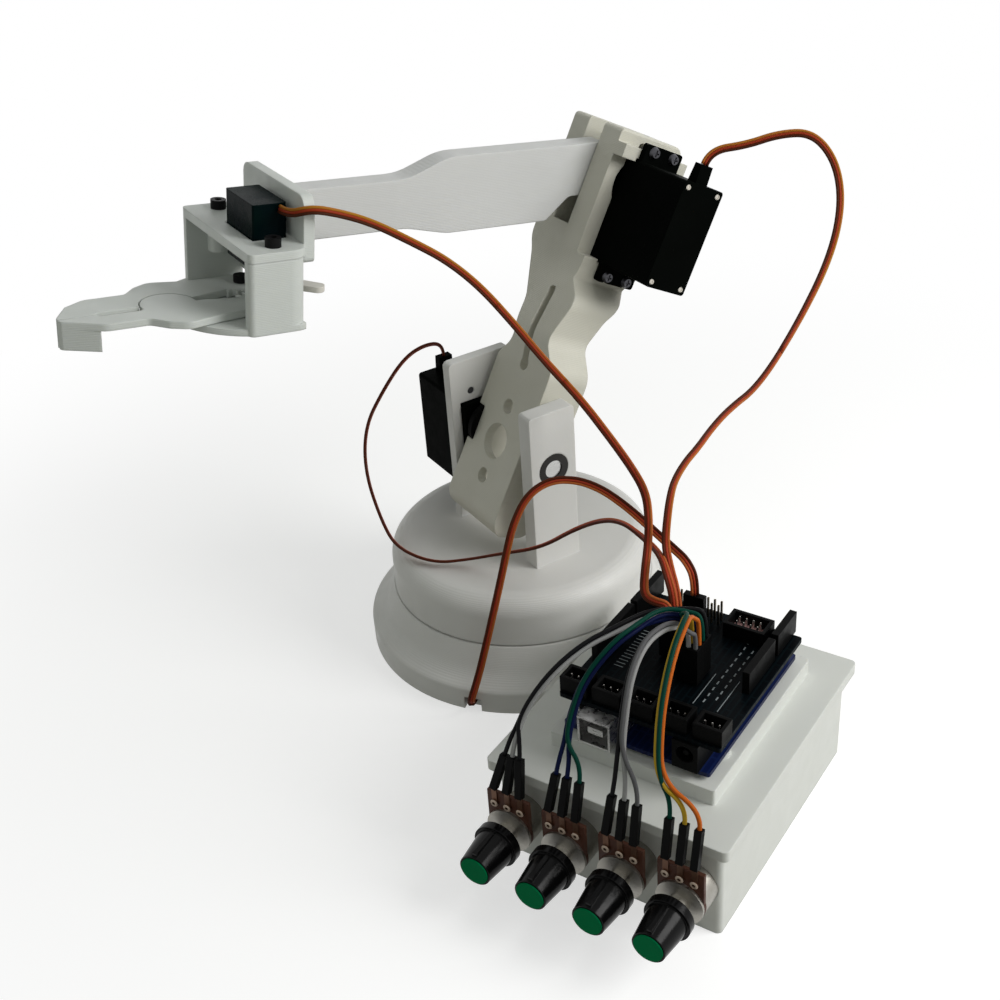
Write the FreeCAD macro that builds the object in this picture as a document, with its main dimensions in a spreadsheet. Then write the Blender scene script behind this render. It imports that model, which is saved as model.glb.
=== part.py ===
import FreeCAD, Part
import Sketcher
import math
import os

V = FreeCAD.Vector
doc = FreeCAD.newDocument("robot_arm")

# Driving dimensions in millimetres and degrees
SIZES = {
    # Round base and turning drum
    "base_radius": 64.0, "base_lip": 9.5, "base_neck": 53.5, "base_deck": 24.0, "base_wall": 3.0,
    "base_edge": 1.5, "base_cove": 10.0, "cove_wall": 0.8, "deck_thick": 3.0, "plate_thick": 2.4,
    "plate_gap": 0.3, "lead_hole": 7.0, "lead_angle": 38.2, "boss_wide": 12.0,
    "drum_radius": 53.0, "drum_top": 45.0, "drum_round": 8.0, "drum_wall": 3.5, "drum_roof": 5.0,
    "turn_gap": 0.6,
    # Standard servo, its horn and its screws
    "servo_long": 40.7, "servo_wide": 19.7, "servo_case": 36.5, "lug_under": 27.3, "lug_thick": 2.5,
    "lug_reach": 6.9, "shaft_inset": 10.2, "collar_radius": 6.5, "collar_high": 1.2,
    "spline_radius": 2.95, "spline_high": 2.7, "servo_fit": 0.4, "hole_pitch": 49.5, "hole_side": 10.0,
    "screw_radius": 1.5, "head_radius": 2.9, "pan_radius": 2.3, "pan_high": 1.4, "screw_grip": 4.0,
    "screw_fit": 0.05,
    "horn_radius": 10.0, "horn_thick": 2.5, "horn_lift": 0.5, "spline_fit": 0.05,
    "relief_long": 7.0, "relief_wide": 6.0, "relief_high": 4.6, "relief_rise": 2.4,
    # Shoulder
    "shoulder_forward": 1.5, "shoulder_high": 86.5, "wall_inner": 20.0, "wall_thick": 4.5,
    "wall_wide": 28.4, "wall_top": 115.0, "post_inner": 23.0, "post_thick": 7.0, "post_wide": 20.0,
    "post_top": 111.0, "bearing_outer": 6.5, "bearing_inner": 3.6, "bearing_wide": 5.0, "fit": 0.03,
    # Lower arm, measured from the shoulder axis along the beam
    "arm_lean": 28.0, "arm_far": 17.4, "arm_near": 17.0, "arm_front": 7.0, "arm_back": 12.0,
    "arm_foot": 36.0, "arm_shoulder": 33.0, "far_shoulder": 29.0, "far_neck": 11.5, "far_waist": 37.0,
    "far_cheek": 18.0, "neck_half": 8.0, "neck_low": 43.0, "neck_high": 60.0, "neck_slope": 3.0,
    "arm_wall": 4.0, "eye_radius": 7.0, "small_eye": 3.0, "end_eye": 2.5, "eye_pitch": 14.6,
    "end_pitch": 32.5, "eye_drop": 2.1, "slit_wide": 3.8, "slit_side": -8.0, "slit_top": 61.0,
    "slit_floor": 2.0,
    # Elbow block at the top of the lower arm
    "elbow_back": 20.7, "elbow_along": 105.7, "block_near": 6.8, "near_wall": 10.8, "slot_wide": 9.8,
    "far_wall": 9.6, "block_rise": 19.3, "block_behind": 15.3, "web_thick": 4.0, "block_ahead": 17.2,
    "block_foot": 38.8, "slot_drop": 23.5, "boss_rise": 5.4, "lug_margin": 2.5, "horn_room": 2.0,
    # Forearm, measured from the elbow axis along the beam
    "fore_pitch": 8.6, "fore_top": 15.7, "fore_under": 12.6, "wrist_half": 9.0, "taper_start": 78.0,
    "taper_end": 95.0,
    "fore_long": 141.0, "fore_thick": 9.0, "side_gap": 0.4, "root_radius": 10.6, "chamfer_out": 34.0,
    "chamfer_in": 24.0, "chamfer_rise": 4.0,
    "pin_radius": 4.0, "pin_fit": 0.05, "pin_deep": 5.0,
    # Gripper bracket and cage; places along the forearm count from its end, here and for the jaws
    "flange_thick": 4.0, "flange_wide": 49.0, "flange_top": 13.0, "flange_bottom": 10.0,
    "plate_front": 25.5, "plate_top": 3.0, "grip_plate": 3.2, "grip_wide": 59.0, "grip_round": 6.5,
    "cage_bottom": 31.2, "cage_wall": 4.0, "cage_back": 1.6, "cage_back_wide": 28.0,
    "floor_radius": 30.2, "floor_thick": 2.2, "floor_at": 14.0, "socket_at": 14.3, "socket_half": 23.0,
    "tab_drop": 0.8, "socket_head": 2.75, "socket_high": 3.2,
    # Micro servo
    "micro_long": 22.5, "micro_wide": 12.2, "micro_case": 22.7, "micro_tab_under": 15.9,
    "micro_tab": 2.5, "micro_reach": 4.7, "micro_inset": 5.9, "hump_high": 4.0, "micro_spline": 2.3,
    "micro_spline_high": 3.0, "micro_fit": 0.3, "micro_screw": 0.9,
    # Jaws, with their pivots either side of the bracket's middle
    "pivot_at": 12.0, "pivot_half": 9.6, "jaw_thick": 2.5, "jaw_tip": 81.5, "tip_long": 12.0,
    "hook_deep": 9.8, "jaw_half": 12.2, "jaw_part": 2.5, "jaw_gap": 0.2, "eye_half": 1.8, "eye_start": 53.5,
    "lobe_at": 43.0, "lobe_side": 1.5, "lobe_radius": 9.5, "lobe_gap": 0.5, "bulge_at": 42.6,
    "bulge_side": 20.7, "hip_at": 31.0, "hip_side": 18.0, "cheek_at": 48.6, "cheek_side": 17.4,
    "chin_at": 68.0, "nose_at": 75.5, "nose_side": 7.6, "gear_root": 8.2, "gear_tip": 10.4,
    "tooth_root": 1.0, "tooth_tip": 0.4,
    "tooth_count": 18.0, "jaw_boss": 6.0, "jaw_under": 0.3,
    "horn_reach": 22.0, "horn_tip": 2.4, "horn_hub": 3.4, "horn_plate": 2.0, "horn_turn": 133.0,
    # Control box, its lid and the plinth under the board
    "box_x": 15.85, "box_y": 122.85, "box_turn": 24.9, "lid_deep": 106.0, "lid_wide": 88.0,
    "lid_top": 40.0, "lid_thick": 4.0, "lid_over": 3.0, "box_wall": 3.0, "box_floor": 3.0,
    "lid_lip": 3.0, "lid_fit": 0.3, "plinth_high": 6.0, "plinth_margin": 3.5, "corner_round": 2.0,
    # Controller board and what stands on it
    "board_front": 32.7, "board_right": 28.0, "board_long": 68.6, "board_wide": 53.3,
    "board_thick": 1.6, "board_lift": 1.5, "standoff_radius": 3.0, "usb_side": 32.1, "usb_wide": 12.0,
    "usb_high": 10.9, "usb_deep": 16.3, "usb_proud": 6.35, "usb_shell": 0.8, "jack_side": 3.3,
    "jack_wide": 9.0, "jack_high": 10.9, "jack_deep": 13.2, "jack_proud": 1.8, "jack_bore": 3.1,
    "switch_size": 6.0, "switch_high": 3.4, "switch_in": 6.5, "switch_side": 49.3, "button_radius": 1.7,
    "button_high": 1.4, "button_travel": 0.25, "strip_wide": 2.5, "strip_high": 8.5, "strip_in": 1.3,
    # Shield board and its sockets
    "shield_front": 33.7, "shield_right": 32.0, "shield_long": 64.0, "shield_wide": 58.0,
    "shield_gap": 2.6, "socket_wide": 10.0, "socket_deep": 7.5, "socket_high_up": 6.0, "pin_half": 0.32,
    "pin_high": 8.0, "pin_pitch": 2.54, "plug_long": 14.0, "plug_thick": 2.5, "plug_lift": 0.8,
    "servo_pins_x": -17.2, "servo_pins_y": -4.54, "knob_pins_x": 1.5, "knob_pins_y": 6.2,
    # Potentiometers and knobs
    "pot_pitch": 21.0, "pot_high": 19.6, "can_radius": 8.3, "can_deep": 8.8, "can_seat": 0.8,
    "wafer_thick": 1.4, "wafer_tail": 14.6, "wafer_wide": 16.0, "face_thick": 1.0, "bush_radius": 3.5,
    "bush_long": 6.0, "shaft_radius": 3.0, "shaft_fit": 0.05, "shaft_long": 19.0, "terminal_pitch": 5.0,
    "terminal_wide": 2.0, "terminal_thick": 0.5, "terminal_rise": 5.0, "knob_gap": 5.2,
    "knob_skirt": 8.0, "knob_skirt_high": 3.0, "knob_base": 7.0, "knob_nose": 5.7, "knob_long": 15.0,
    "cap_radius": 5.0, "cap_thick": 1.4, "cap_sink": 0.9, "housing_wide": 2.5, "housing_long": 14.0,
    "housing_lean": 14.0, "housing_up": 2.0, "eyelet_radius": 1.4, "eyelet_hole": 0.65, "eyelet_thick": 0.9,
    "eyelet_drop": 4.4,
    # Leads and wires
    "lead_radius": 1.15, "wire_radius": 0.75,
}

sheet = doc.addObject("Spreadsheet::Sheet", "Sizes")
for row, (alias, number) in enumerate(SIZES.items(), start=1):
    sheet.set("A%d" % row, alias)
    sheet.set("B%d" % row, repr(number))
    sheet.setAlias("B%d" % row, alias)
doc.recompute()


class Size:
    """A length that keeps its value and the sheet expression that gives it."""

    def __init__(self, value, text):
        self.value = value
        self.text = text

    def __add__(self, other):
        other = size(other)
        return Size(self.value + other.value, "(%s + %s)" % (self.text, other.text))

    def __sub__(self, other):
        other = size(other)
        return Size(self.value - other.value, "(%s - %s)" % (self.text, other.text))

    def __mul__(self, other):
        other = size(other)
        return Size(self.value * other.value, "(%s * %s)" % (self.text, other.text))

    def __truediv__(self, other):
        other = size(other)
        return Size(self.value / other.value, "(%s / %s)" % (self.text, other.text))

    def __radd__(self, other):
        return size(other) + self

    def __rsub__(self, other):
        return size(other) - self

    def __rmul__(self, other):
        return size(other) * self

    def __neg__(self):
        return Size(-self.value, "(0 - %s)" % self.text)


def size(thing):
    """A plain number as a Size, and a Size as it is."""
    if isinstance(thing, Size):
        return thing
    return Size(float(thing), repr(float(thing)))


def smaller(first, second):
    """The smaller of two sizes."""
    first, second = size(first), size(second)
    return Size(min(first.value, second.value), "min(%s; %s)" % (first.text, second.text))


class Named:
    """The sheet's sizes as attributes."""

    def __getattr__(self, alias):
        return Size(float(sheet.get(alias)), "Sizes.%s" % alias)


s = Named()
PARTS = []


# Helpers that make bound features

def bind(thing, prop, value):
    """Set a property from a size and bind it to the sheet."""
    thing.setExpression(prop, size(value).text)


def sketch_outline(sketch, corners):
    """Closed outline of straight lines through the corners, each tied to the sheet."""
    points = [V(size(c[0]).value, size(c[1]).value, 0) for c in corners]
    count = len(corners)
    lines = [sketch.addGeometry(Part.LineSegment(points[i], points[(i + 1) % count])) for i in range(count)]
    for i in range(count):
        sketch.addConstraint(Sketcher.Constraint("Coincident", lines[i - 1], 2, lines[i], 1))
        place_point(sketch, lines[i], 1, corners[i])


def round_edges(body, feature, corners, find):
    """Fillets on the edges that belong to corners with a round (x, y, radius), one feature per radius."""
    groups = {}
    for corner in corners:
        if len(corner) > 2:
            groups.setdefault(size(corner[2]).text, []).append(corner)
    for wanted in groups.values():
        doc.recompute()
        spots = [(size(c[0]).value, size(c[1]).value) for c in wanted]
        names = ["Edge%d" % (i + 1) for i, edge in enumerate(feature.Shape.Edges)
                 if any(find(edge, spot) for spot in spots)]
        fillet = body.newObject("PartDesign::Fillet", body.Name + "_round")
        fillet.Base = (feature, names)
        bind(fillet, "Radius", wanted[0][2])
        feature = fillet


def upright_edge(plane):
    """Test for a straight edge that stands on one spot of the outline's plane."""
    first, second = plane.lower()

    def find(edge, spot):
        return all(abs(getattr(v.Point, first) - spot[0]) < 1e-4
                   and abs(getattr(v.Point, second) - spot[1]) < 1e-4
                   for v in edge.Vertexes)

    return find


def hoop_edge(edge, spot):
    """Test for a circular edge of one radius at one height."""
    curve = edge.Curve
    return (isinstance(curve, Part.Circle) and abs(curve.Radius - spot[0]) < 1e-4
            and abs(curve.Center.z - spot[1]) < 1e-4)


def drive(sketch, constraint, value):
    index = sketch.addConstraint(constraint)
    sketch.setExpression("Constraints[%d]" % index, value.text)


def place_point(sketch, geometry, end, corner):
    """Tie a point's two distances from the origin to the sheet, or to an axis where one is nought."""
    for kind, axis, value in (("DistanceX", -2, size(corner[0])), ("DistanceY", -1, size(corner[1]))):
        if value.value == 0:
            sketch.addConstraint(Sketcher.Constraint("PointOnObject", geometry, end, axis))
        else:
            drive(sketch, Sketcher.Constraint(kind, -1, 1, geometry, end, value.value), value)


def new_sketch(body, plane, offset):
    """A sketch on one of the body's own origin planes, moved along its normal."""
    sketch = body.newObject("Sketcher::SketchObject", body.Name + "_outline")
    roles = {feature.Role: feature for feature in body.Origin.OriginFeatures}
    sketch.AttachmentSupport = [(roles[plane + "_Plane"], "")]
    sketch.MapMode = "FlatFace"
    bind(sketch, "AttachmentOffset.Base.z", offset)
    return sketch


def prism(name, plane, corners, low, high):
    """Body padded from an outline on XY, XZ or YZ, between low and high on the third axis."""
    body = doc.addObject("PartDesign::Body", name)
    low, high = size(low), size(high)
    sketch = new_sketch(body, plane, -high if plane == "XZ" else low)
    sketch_outline(sketch, corners)
    pad = body.newObject("PartDesign::Pad", name + "_pad")
    pad.Profile = sketch
    bind(pad, "Length", high - low)
    round_edges(body, pad, corners, upright_edge(plane))
    return body


def turned(name, corners):
    """Body revolved about the upright axis from an outline of (radius, height)."""
    body = doc.addObject("PartDesign::Body", name)
    sketch = new_sketch(body, "XZ", 0)
    sketch_outline(sketch, corners)
    turn = body.newObject("PartDesign::Revolution", name + "_turn")
    turn.Profile = sketch
    turn.ReferenceAxis = (sketch, ["V_Axis"])
    turn.Angle = 360.0
    round_edges(body, turn, corners, hoop_edge)
    return body


def box(name, x, y, z):
    """Box between the given lows and highs on each axis."""
    block = doc.addObject("Part::Box", name)
    for prop, axis, (low, high) in (("Length", "x", x), ("Width", "y", y), ("Height", "z", z)):
        bind(block, prop, size(high) - size(low))
        bind(block, "Placement.Base." + axis, low)
    return block


TURNS = {"x": FreeCAD.Rotation(V(0, 1, 0), 90), "y": FreeCAD.Rotation(V(1, 0, 0), -90),
         "z": FreeCAD.Rotation()}


def rod(name, axis, across, radius, low, high):
    """Cylinder along an axis; across holds its two other coordinates in x, y, z order."""
    bar = doc.addObject("Part::Cylinder", name)
    bar.Placement = FreeCAD.Placement(V(), TURNS[axis])
    bind(bar, "Radius", radius)
    bind(bar, "Height", size(high) - size(low))
    others = [a for a in "xyz" if a != axis]
    bind(bar, "Placement.Base." + axis, low)
    for other, value in zip(others, across):
        bind(bar, "Placement.Base." + other, value)
    return bar


def cone(name, axis, across, radius_low, radius_high, low, high):
    taper = doc.addObject("Part::Cone", name)
    taper.Placement = FreeCAD.Placement(V(), TURNS[axis])
    bind(taper, "Radius1", radius_low)
    bind(taper, "Radius2", radius_high)
    bind(taper, "Height", size(high) - size(low))
    bind(taper, "Placement.Base." + axis, low)
    for other, value in zip([a for a in "xyz" if a != axis], across):
        bind(taper, "Placement.Base." + other, value)
    return taper


def fuse(name, *pieces):
    joined = doc.addObject("Part::MultiFuse", name)
    joined.Shapes = list(pieces)
    joined.Refine = True
    return joined


def cut(name, base, *tools):
    tool = tools[0] if len(tools) == 1 else fuse(name + "_tools", *tools)
    result = doc.addObject("Part::Cut", name)
    result.Base = base
    result.Tool = tool
    return result


def common(name, first, second):
    result = doc.addObject("Part::Common", name)
    result.Base = first
    result.Tool = second
    return result


def group(name, pieces):
    bundle = doc.addObject("Part::Compound", name)
    bundle.Links = list(pieces)
    return bundle


def node(label, thing, placement=None):
    """Name a finished sub-part and put it in its place."""
    thing.Label = label
    if placement is not None:
        thing.Placement = placement
    PARTS.append(thing)


def num(alias):
    return float(sheet.get(alias))


# Places of the moving groups at rest
SHOULDER = V(num("shoulder_forward"), 0, num("shoulder_high"))
ARM_AT = FreeCAD.Placement(SHOULDER, FreeCAD.Rotation(V(0, 1, 0), -num("arm_lean")))
ELBOW = ARM_AT.multVec(V(-num("elbow_back"), 0, num("elbow_along")))
FORE_AT = FreeCAD.Placement(ELBOW, FreeCAD.Rotation(V(0, 1, 0), -num("fore_pitch")))
BOX_AT = FreeCAD.Placement(V(num("box_x"), num("box_y"), 0), FreeCAD.Rotation(V(0, 0, 1), num("box_turn")))


# Standard servo: shaft axis at the origin, lugs under the plane z = 0, shaft up, case towards +x

SERVO_BOTTOM = -(s.lug_under + s.lug_thick)
CASE_TOP = SERVO_BOTTOM + s.servo_case
COLLAR_TOP = CASE_TOP + s.collar_high
HORN_LOW = COLLAR_TOP + s.horn_lift
HORN_HIGH = HORN_LOW + s.horn_thick
CASE_NEAR = -s.shaft_inset
CASE_FAR = s.servo_long - s.shaft_inset
CASE_HALF = s.servo_wide / 2
CASE_MIDDLE = s.servo_long / 2 - s.shaft_inset
HOLES = [(CASE_MIDDLE + side * s.hole_pitch / 2, across * s.hole_side / 2)
         for side in (-1, 1) for across in (-1, 1)]


def servo(name):
    edge = 1.2
    outline = [(CASE_NEAR, -CASE_HALF, edge), (CASE_FAR, -CASE_HALF, edge),
               (CASE_FAR, CASE_HALF, edge), (CASE_NEAR, CASE_HALF, edge)]
    case = prism(name + "_case", "XY", outline, SERVO_BOTTOM, CASE_TOP)
    half = CASE_HALF - 0.6
    ears = [(CASE_NEAR - s.lug_reach, -half, edge), (CASE_FAR + s.lug_reach, -half, edge),
            (CASE_FAR + s.lug_reach, half, edge), (CASE_NEAR - s.lug_reach, half, edge)]
    lugs = prism(name + "_lugs", "XY", ears, -s.lug_thick, 0)
    collar = rod(name + "_collar", "z", (0, 0), s.collar_radius, CASE_TOP, COLLAR_TOP)
    spline = rod(name + "_spline", "z", (0, 0), s.spline_radius, COLLAR_TOP, COLLAR_TOP + s.spline_high)
    low = SERVO_BOTTOM + s.relief_rise
    sleeve = [(CASE_NEAR, low), (CASE_NEAR, low + s.relief_high),
              (CASE_NEAR - s.relief_long, low + s.relief_high - 0.6), (CASE_NEAR - s.relief_long, low + 0.6)]
    relief = prism(name + "_relief", "XZ", sleeve, -s.relief_wide / 2, s.relief_wide / 2)
    solid = fuse(name + "_solid", case, lugs, collar, spline, relief)
    bores = [rod("%s_bore_%d" % (name, i), "z", at, s.screw_radius + s.screw_fit, -s.lug_thick - 1, 1)
             for i, at in enumerate(HOLES)]
    notches = [box("%s_notch_%d" % (name, i),
                   (at[0], at[0] + side * s.lug_reach) if side > 0 else (at[0] - s.lug_reach, at[0]),
                   (at[1] - s.screw_radius * 0.7, at[1] + s.screw_radius * 0.7), (-s.lug_thick - 1, 1))
               for i, (at, side) in enumerate(zip(HOLES, (-1, -1, 1, 1)))]
    return cut(name + "_body", solid, *(bores + notches))


def servo_screws(name, head, shank):
    """Four screws through the lugs, with the given spans for the heads and the shanks."""
    screws = []
    for i, at in enumerate(HOLES):
        cap = rod("%s_head_%d" % (name, i), "z", at, s.pan_radius, *head)
        stem = rod("%s_shank_%d" % (name, i), "z", at, s.screw_radius, *shank)
        screws.append(fuse("%s_%d" % (name, i), cap, stem))
    return group(name + "_set", screws)


HEADS_UNDER = (-s.lug_thick - s.pan_high, -s.lug_thick)
HEADS_OVER = (size(0), s.pan_high)


def horn(name):
    disc = rod(name + "_disc", "z", (0, 0), s.horn_radius, HORN_LOW, HORN_HIGH)
    bore = rod(name + "_bore", "z", (0, 0), s.spline_radius + s.spline_fit, HORN_LOW - 1, HORN_HIGH + 1)
    ring = 6.6
    small = [rod("%s_hole_%d" % (name, i), "z", (ring * math.cos(a), ring * math.sin(a)), 0.8,
                 HORN_LOW - 1, HORN_HIGH + 1) for i, a in enumerate([0, math.pi / 2, math.pi, 1.5 * math.pi])]
    return cut(name + "_plate", disc, bore, *small)


def servo_place(origin, long_way, shaft_way):
    """Placement that points the case along one direction and the shaft along another."""
    side = shaft_way.cross(long_way)
    return FreeCAD.Placement(origin, FreeCAD.Rotation(long_way, side, shaft_way, "ZXY"))


# Base: foot with a cove, deck with the servo's opening and two bosses for its lugs

LUG_PLANE = s.plate_thick + s.plate_gap + s.lug_under + s.lug_thick
WAIST_SERVO_AT = servo_place(V(0, 0, LUG_PLANE.value), V(-1, 0, 0), V(0, 0, 1))


def base_shell():
    cove = s.base_radius - s.base_neck
    cove_at = s.base_radius - cove * 0.55
    cove_high = s.base_lip + (s.base_deck - s.base_lip) * 0.22
    under_deck = s.base_deck - s.deck_thick
    slope = (under_deck - s.base_lip + 1) / cove
    inside = under_deck - (cove_at - s.base_neck + s.base_wall) * slope
    profile = [(s.base_radius - s.base_wall, 0), (s.base_radius, 0), (s.base_radius, s.base_lip, s.base_edge),
               (cove_at, cove_high, smaller(s.base_cove, cove * 0.9)),
               (s.base_neck, s.base_deck), (CASE_HALF, s.base_deck), (CASE_HALF, under_deck),
               (s.base_neck - s.base_wall, under_deck),
               (cove_at, smaller(inside, cove_high - s.cove_wall)),
               (s.base_radius - s.base_wall, s.base_lip - 1)]
    shell = turned("base_turn", profile)
    bosses = [box("base_boss_%d" % i,
                  (-(CASE_MIDDLE + side * s.hole_pitch / 2) - s.boss_wide / 2,
                   -(CASE_MIDDLE + side * s.hole_pitch / 2) + s.boss_wide / 2),
                  (-CASE_HALF, CASE_HALF), (s.base_deck - s.deck_thick, LUG_PLANE - s.lug_thick))
              for i, side in enumerate((-1, 1))]
    solid = fuse("base_solid", shell, *bosses)
    opening = box("base_opening", (-CASE_FAR - s.servo_fit, -CASE_NEAR + s.servo_fit),
                  (-CASE_HALF - s.servo_fit, CASE_HALF + s.servo_fit), (0, LUG_PLANE))
    relief = box("base_relief_way", (-CASE_NEAR, -CASE_NEAR + s.relief_long + 1),
                 (-s.relief_wide / 2 - 1, s.relief_wide / 2 + 1), (0, s.base_deck + 1))
    bores = [rod("base_bore_%d" % i, "z", (-at[0], at[1]), s.screw_radius + s.screw_fit, s.base_deck - 6,
                 LUG_PLANE) for i, at in enumerate(HOLES)]
    hole = box("base_lead_arch", (s.base_radius - s.base_wall - 6, s.base_radius + 1),
               (-s.lead_hole / 2, s.lead_hole / 2), (-1, s.lead_hole * 0.8))
    arch = group("base_lead_way", [hole])
    arch.Placement = FreeCAD.Placement(V(), FreeCAD.Rotation(V(0, 0, 1), num("lead_angle")))
    return cut("base_cut", solid, opening, relief, arch, *bores)


node("base_shell", base_shell())
inside = s.base_radius - s.base_wall - s.plate_gap
plate_disc = rod("plate_disc", "z", (0, 0), inside, 0, s.plate_thick)
node("base_plate", group("plate_group", [plate_disc]))
node("waist_servo", servo("waist_servo"), WAIST_SERVO_AT)
node("waist_servo_screws", servo_screws("waist_screws", HEADS_OVER, (-s.lug_thick - s.screw_grip, size(0))),
     WAIST_SERVO_AT)


# Waist: drum with the shoulder's servo wall and bearing post

WAIST_HORN_TOP = LUG_PLANE + HORN_HIGH
SHOULDER_LUGS = -(s.wall_inner + s.wall_thick)
SHOULDER_SERVO_AT = servo_place(SHOULDER + V(0, SHOULDER_LUGS.value, 0), V(0, 0, -1), V(0, 1, 0))


def waist_turret():
    low = s.base_deck + s.turn_gap
    inner = s.drum_radius - s.drum_wall
    roof = s.drum_top - s.drum_roof
    profile = [(0, s.drum_top), (s.drum_radius, s.drum_top, s.drum_round), (s.drum_radius, low), (inner, low),
               (inner, roof, 5.0), (0, roof)]
    drum = turned("drum_turn", profile)
    middle = s.shoulder_forward
    wall = prism("servo_wall", "XZ", [
        (middle - s.wall_wide / 2, s.drum_top - 1), (middle + s.wall_wide / 2, s.drum_top - 1),
        (middle + s.wall_wide / 2, s.wall_top, 2.0), (middle - s.wall_wide / 2, s.wall_top, 2.0)],
        -(s.wall_inner + s.wall_thick), -s.wall_inner)
    post = prism("bearing_post", "XZ", [
        (middle - s.post_wide / 2, s.drum_top - 1), (middle + s.post_wide / 2, s.drum_top - 1),
        (middle + s.post_wide / 2, s.post_top, 1.5), (middle - s.post_wide / 2, s.post_top, 1.5)],
        s.post_inner, s.post_inner + s.post_thick)
    solid = fuse("turret_solid", drum, wall, post)
    high = s.shoulder_high
    opening = box("turret_opening", (middle - CASE_HALF - s.servo_fit, middle + CASE_HALF + s.servo_fit),
                  (-(s.wall_inner + s.wall_thick + 1), -s.wall_inner + 1),
                  (high - CASE_FAR - s.servo_fit, high - CASE_NEAR + s.servo_fit))
    bores = [rod("turret_bore_%d" % i, "y", (middle - at[1], high - at[0]), s.screw_radius + s.screw_fit,
                 -(s.wall_inner + s.wall_thick + 1), -s.wall_inner + 1) for i, at in enumerate(HOLES)]
    seat = rod("bearing_seat", "y", (middle, high), s.bearing_outer + s.fit,
               s.post_inner + s.post_thick - s.bearing_wide, s.post_inner + s.post_thick + 1)
    way = rod("bearing_way", "y", (middle, high), s.bearing_outer - 1.5, s.post_inner - 1,
              s.post_inner + s.post_thick)
    pocket = rod("turret_horn_seat", "z", (0, 0), s.horn_radius + s.fit, roof - 1, WAIST_HORN_TOP)
    screw_way = rod("turret_screw_way", "z", (0, 0), s.head_radius, roof, s.drum_top + 1)
    return cut("turret_cut", solid, opening, seat, way, pocket, screw_way, *bores)


node("waist_turret", waist_turret())
node("waist_horn", horn("waist_horn"), WAIST_SERVO_AT)
node("shoulder_servo", servo("shoulder_servo"), SHOULDER_SERVO_AT)
node("shoulder_servo_screws", servo_screws("shoulder_screws", HEADS_UNDER, (-s.lug_thick, s.screw_grip)),
     SHOULDER_SERVO_AT)
BEARING_LOW = s.post_inner + s.post_thick - s.bearing_wide
bearing_ring = cut("bearing_ring", rod("bearing_rim", "y", (0, 0), s.bearing_outer, BEARING_LOW,
                                       BEARING_LOW + s.bearing_wide),
                   rod("bearing_hole", "y", (0, 0), s.bearing_inner + s.pin_fit, BEARING_LOW - 1,
                       BEARING_LOW + s.bearing_wide + 1))
node("shoulder_bearing", bearing_ring, FreeCAD.Placement(SHOULDER, FreeCAD.Rotation()))


# Lower arm: hourglass beam, open at the back, with the elbow block on top

BLOCK_FAR = s.block_near + s.near_wall + s.slot_wide + s.far_wall
SLOT_NEAR = s.block_near + s.near_wall
SLOT_FAR = SLOT_NEAR + s.slot_wide
LUG_FACE = s.block_near - s.boss_rise
CASE_UP = s.elbow_along + s.shaft_inset
CASE_DOWN = CASE_UP - s.servo_long
BLOCK_TOP = s.elbow_along + s.block_rise
ELBOW_SERVO_AT = ARM_AT.multiply(servo_place(V(-num("elbow_back"), -LUG_FACE.value, num("elbow_along")),
                                             V(0, 0, -1), V(0, -1, 0)))


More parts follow.
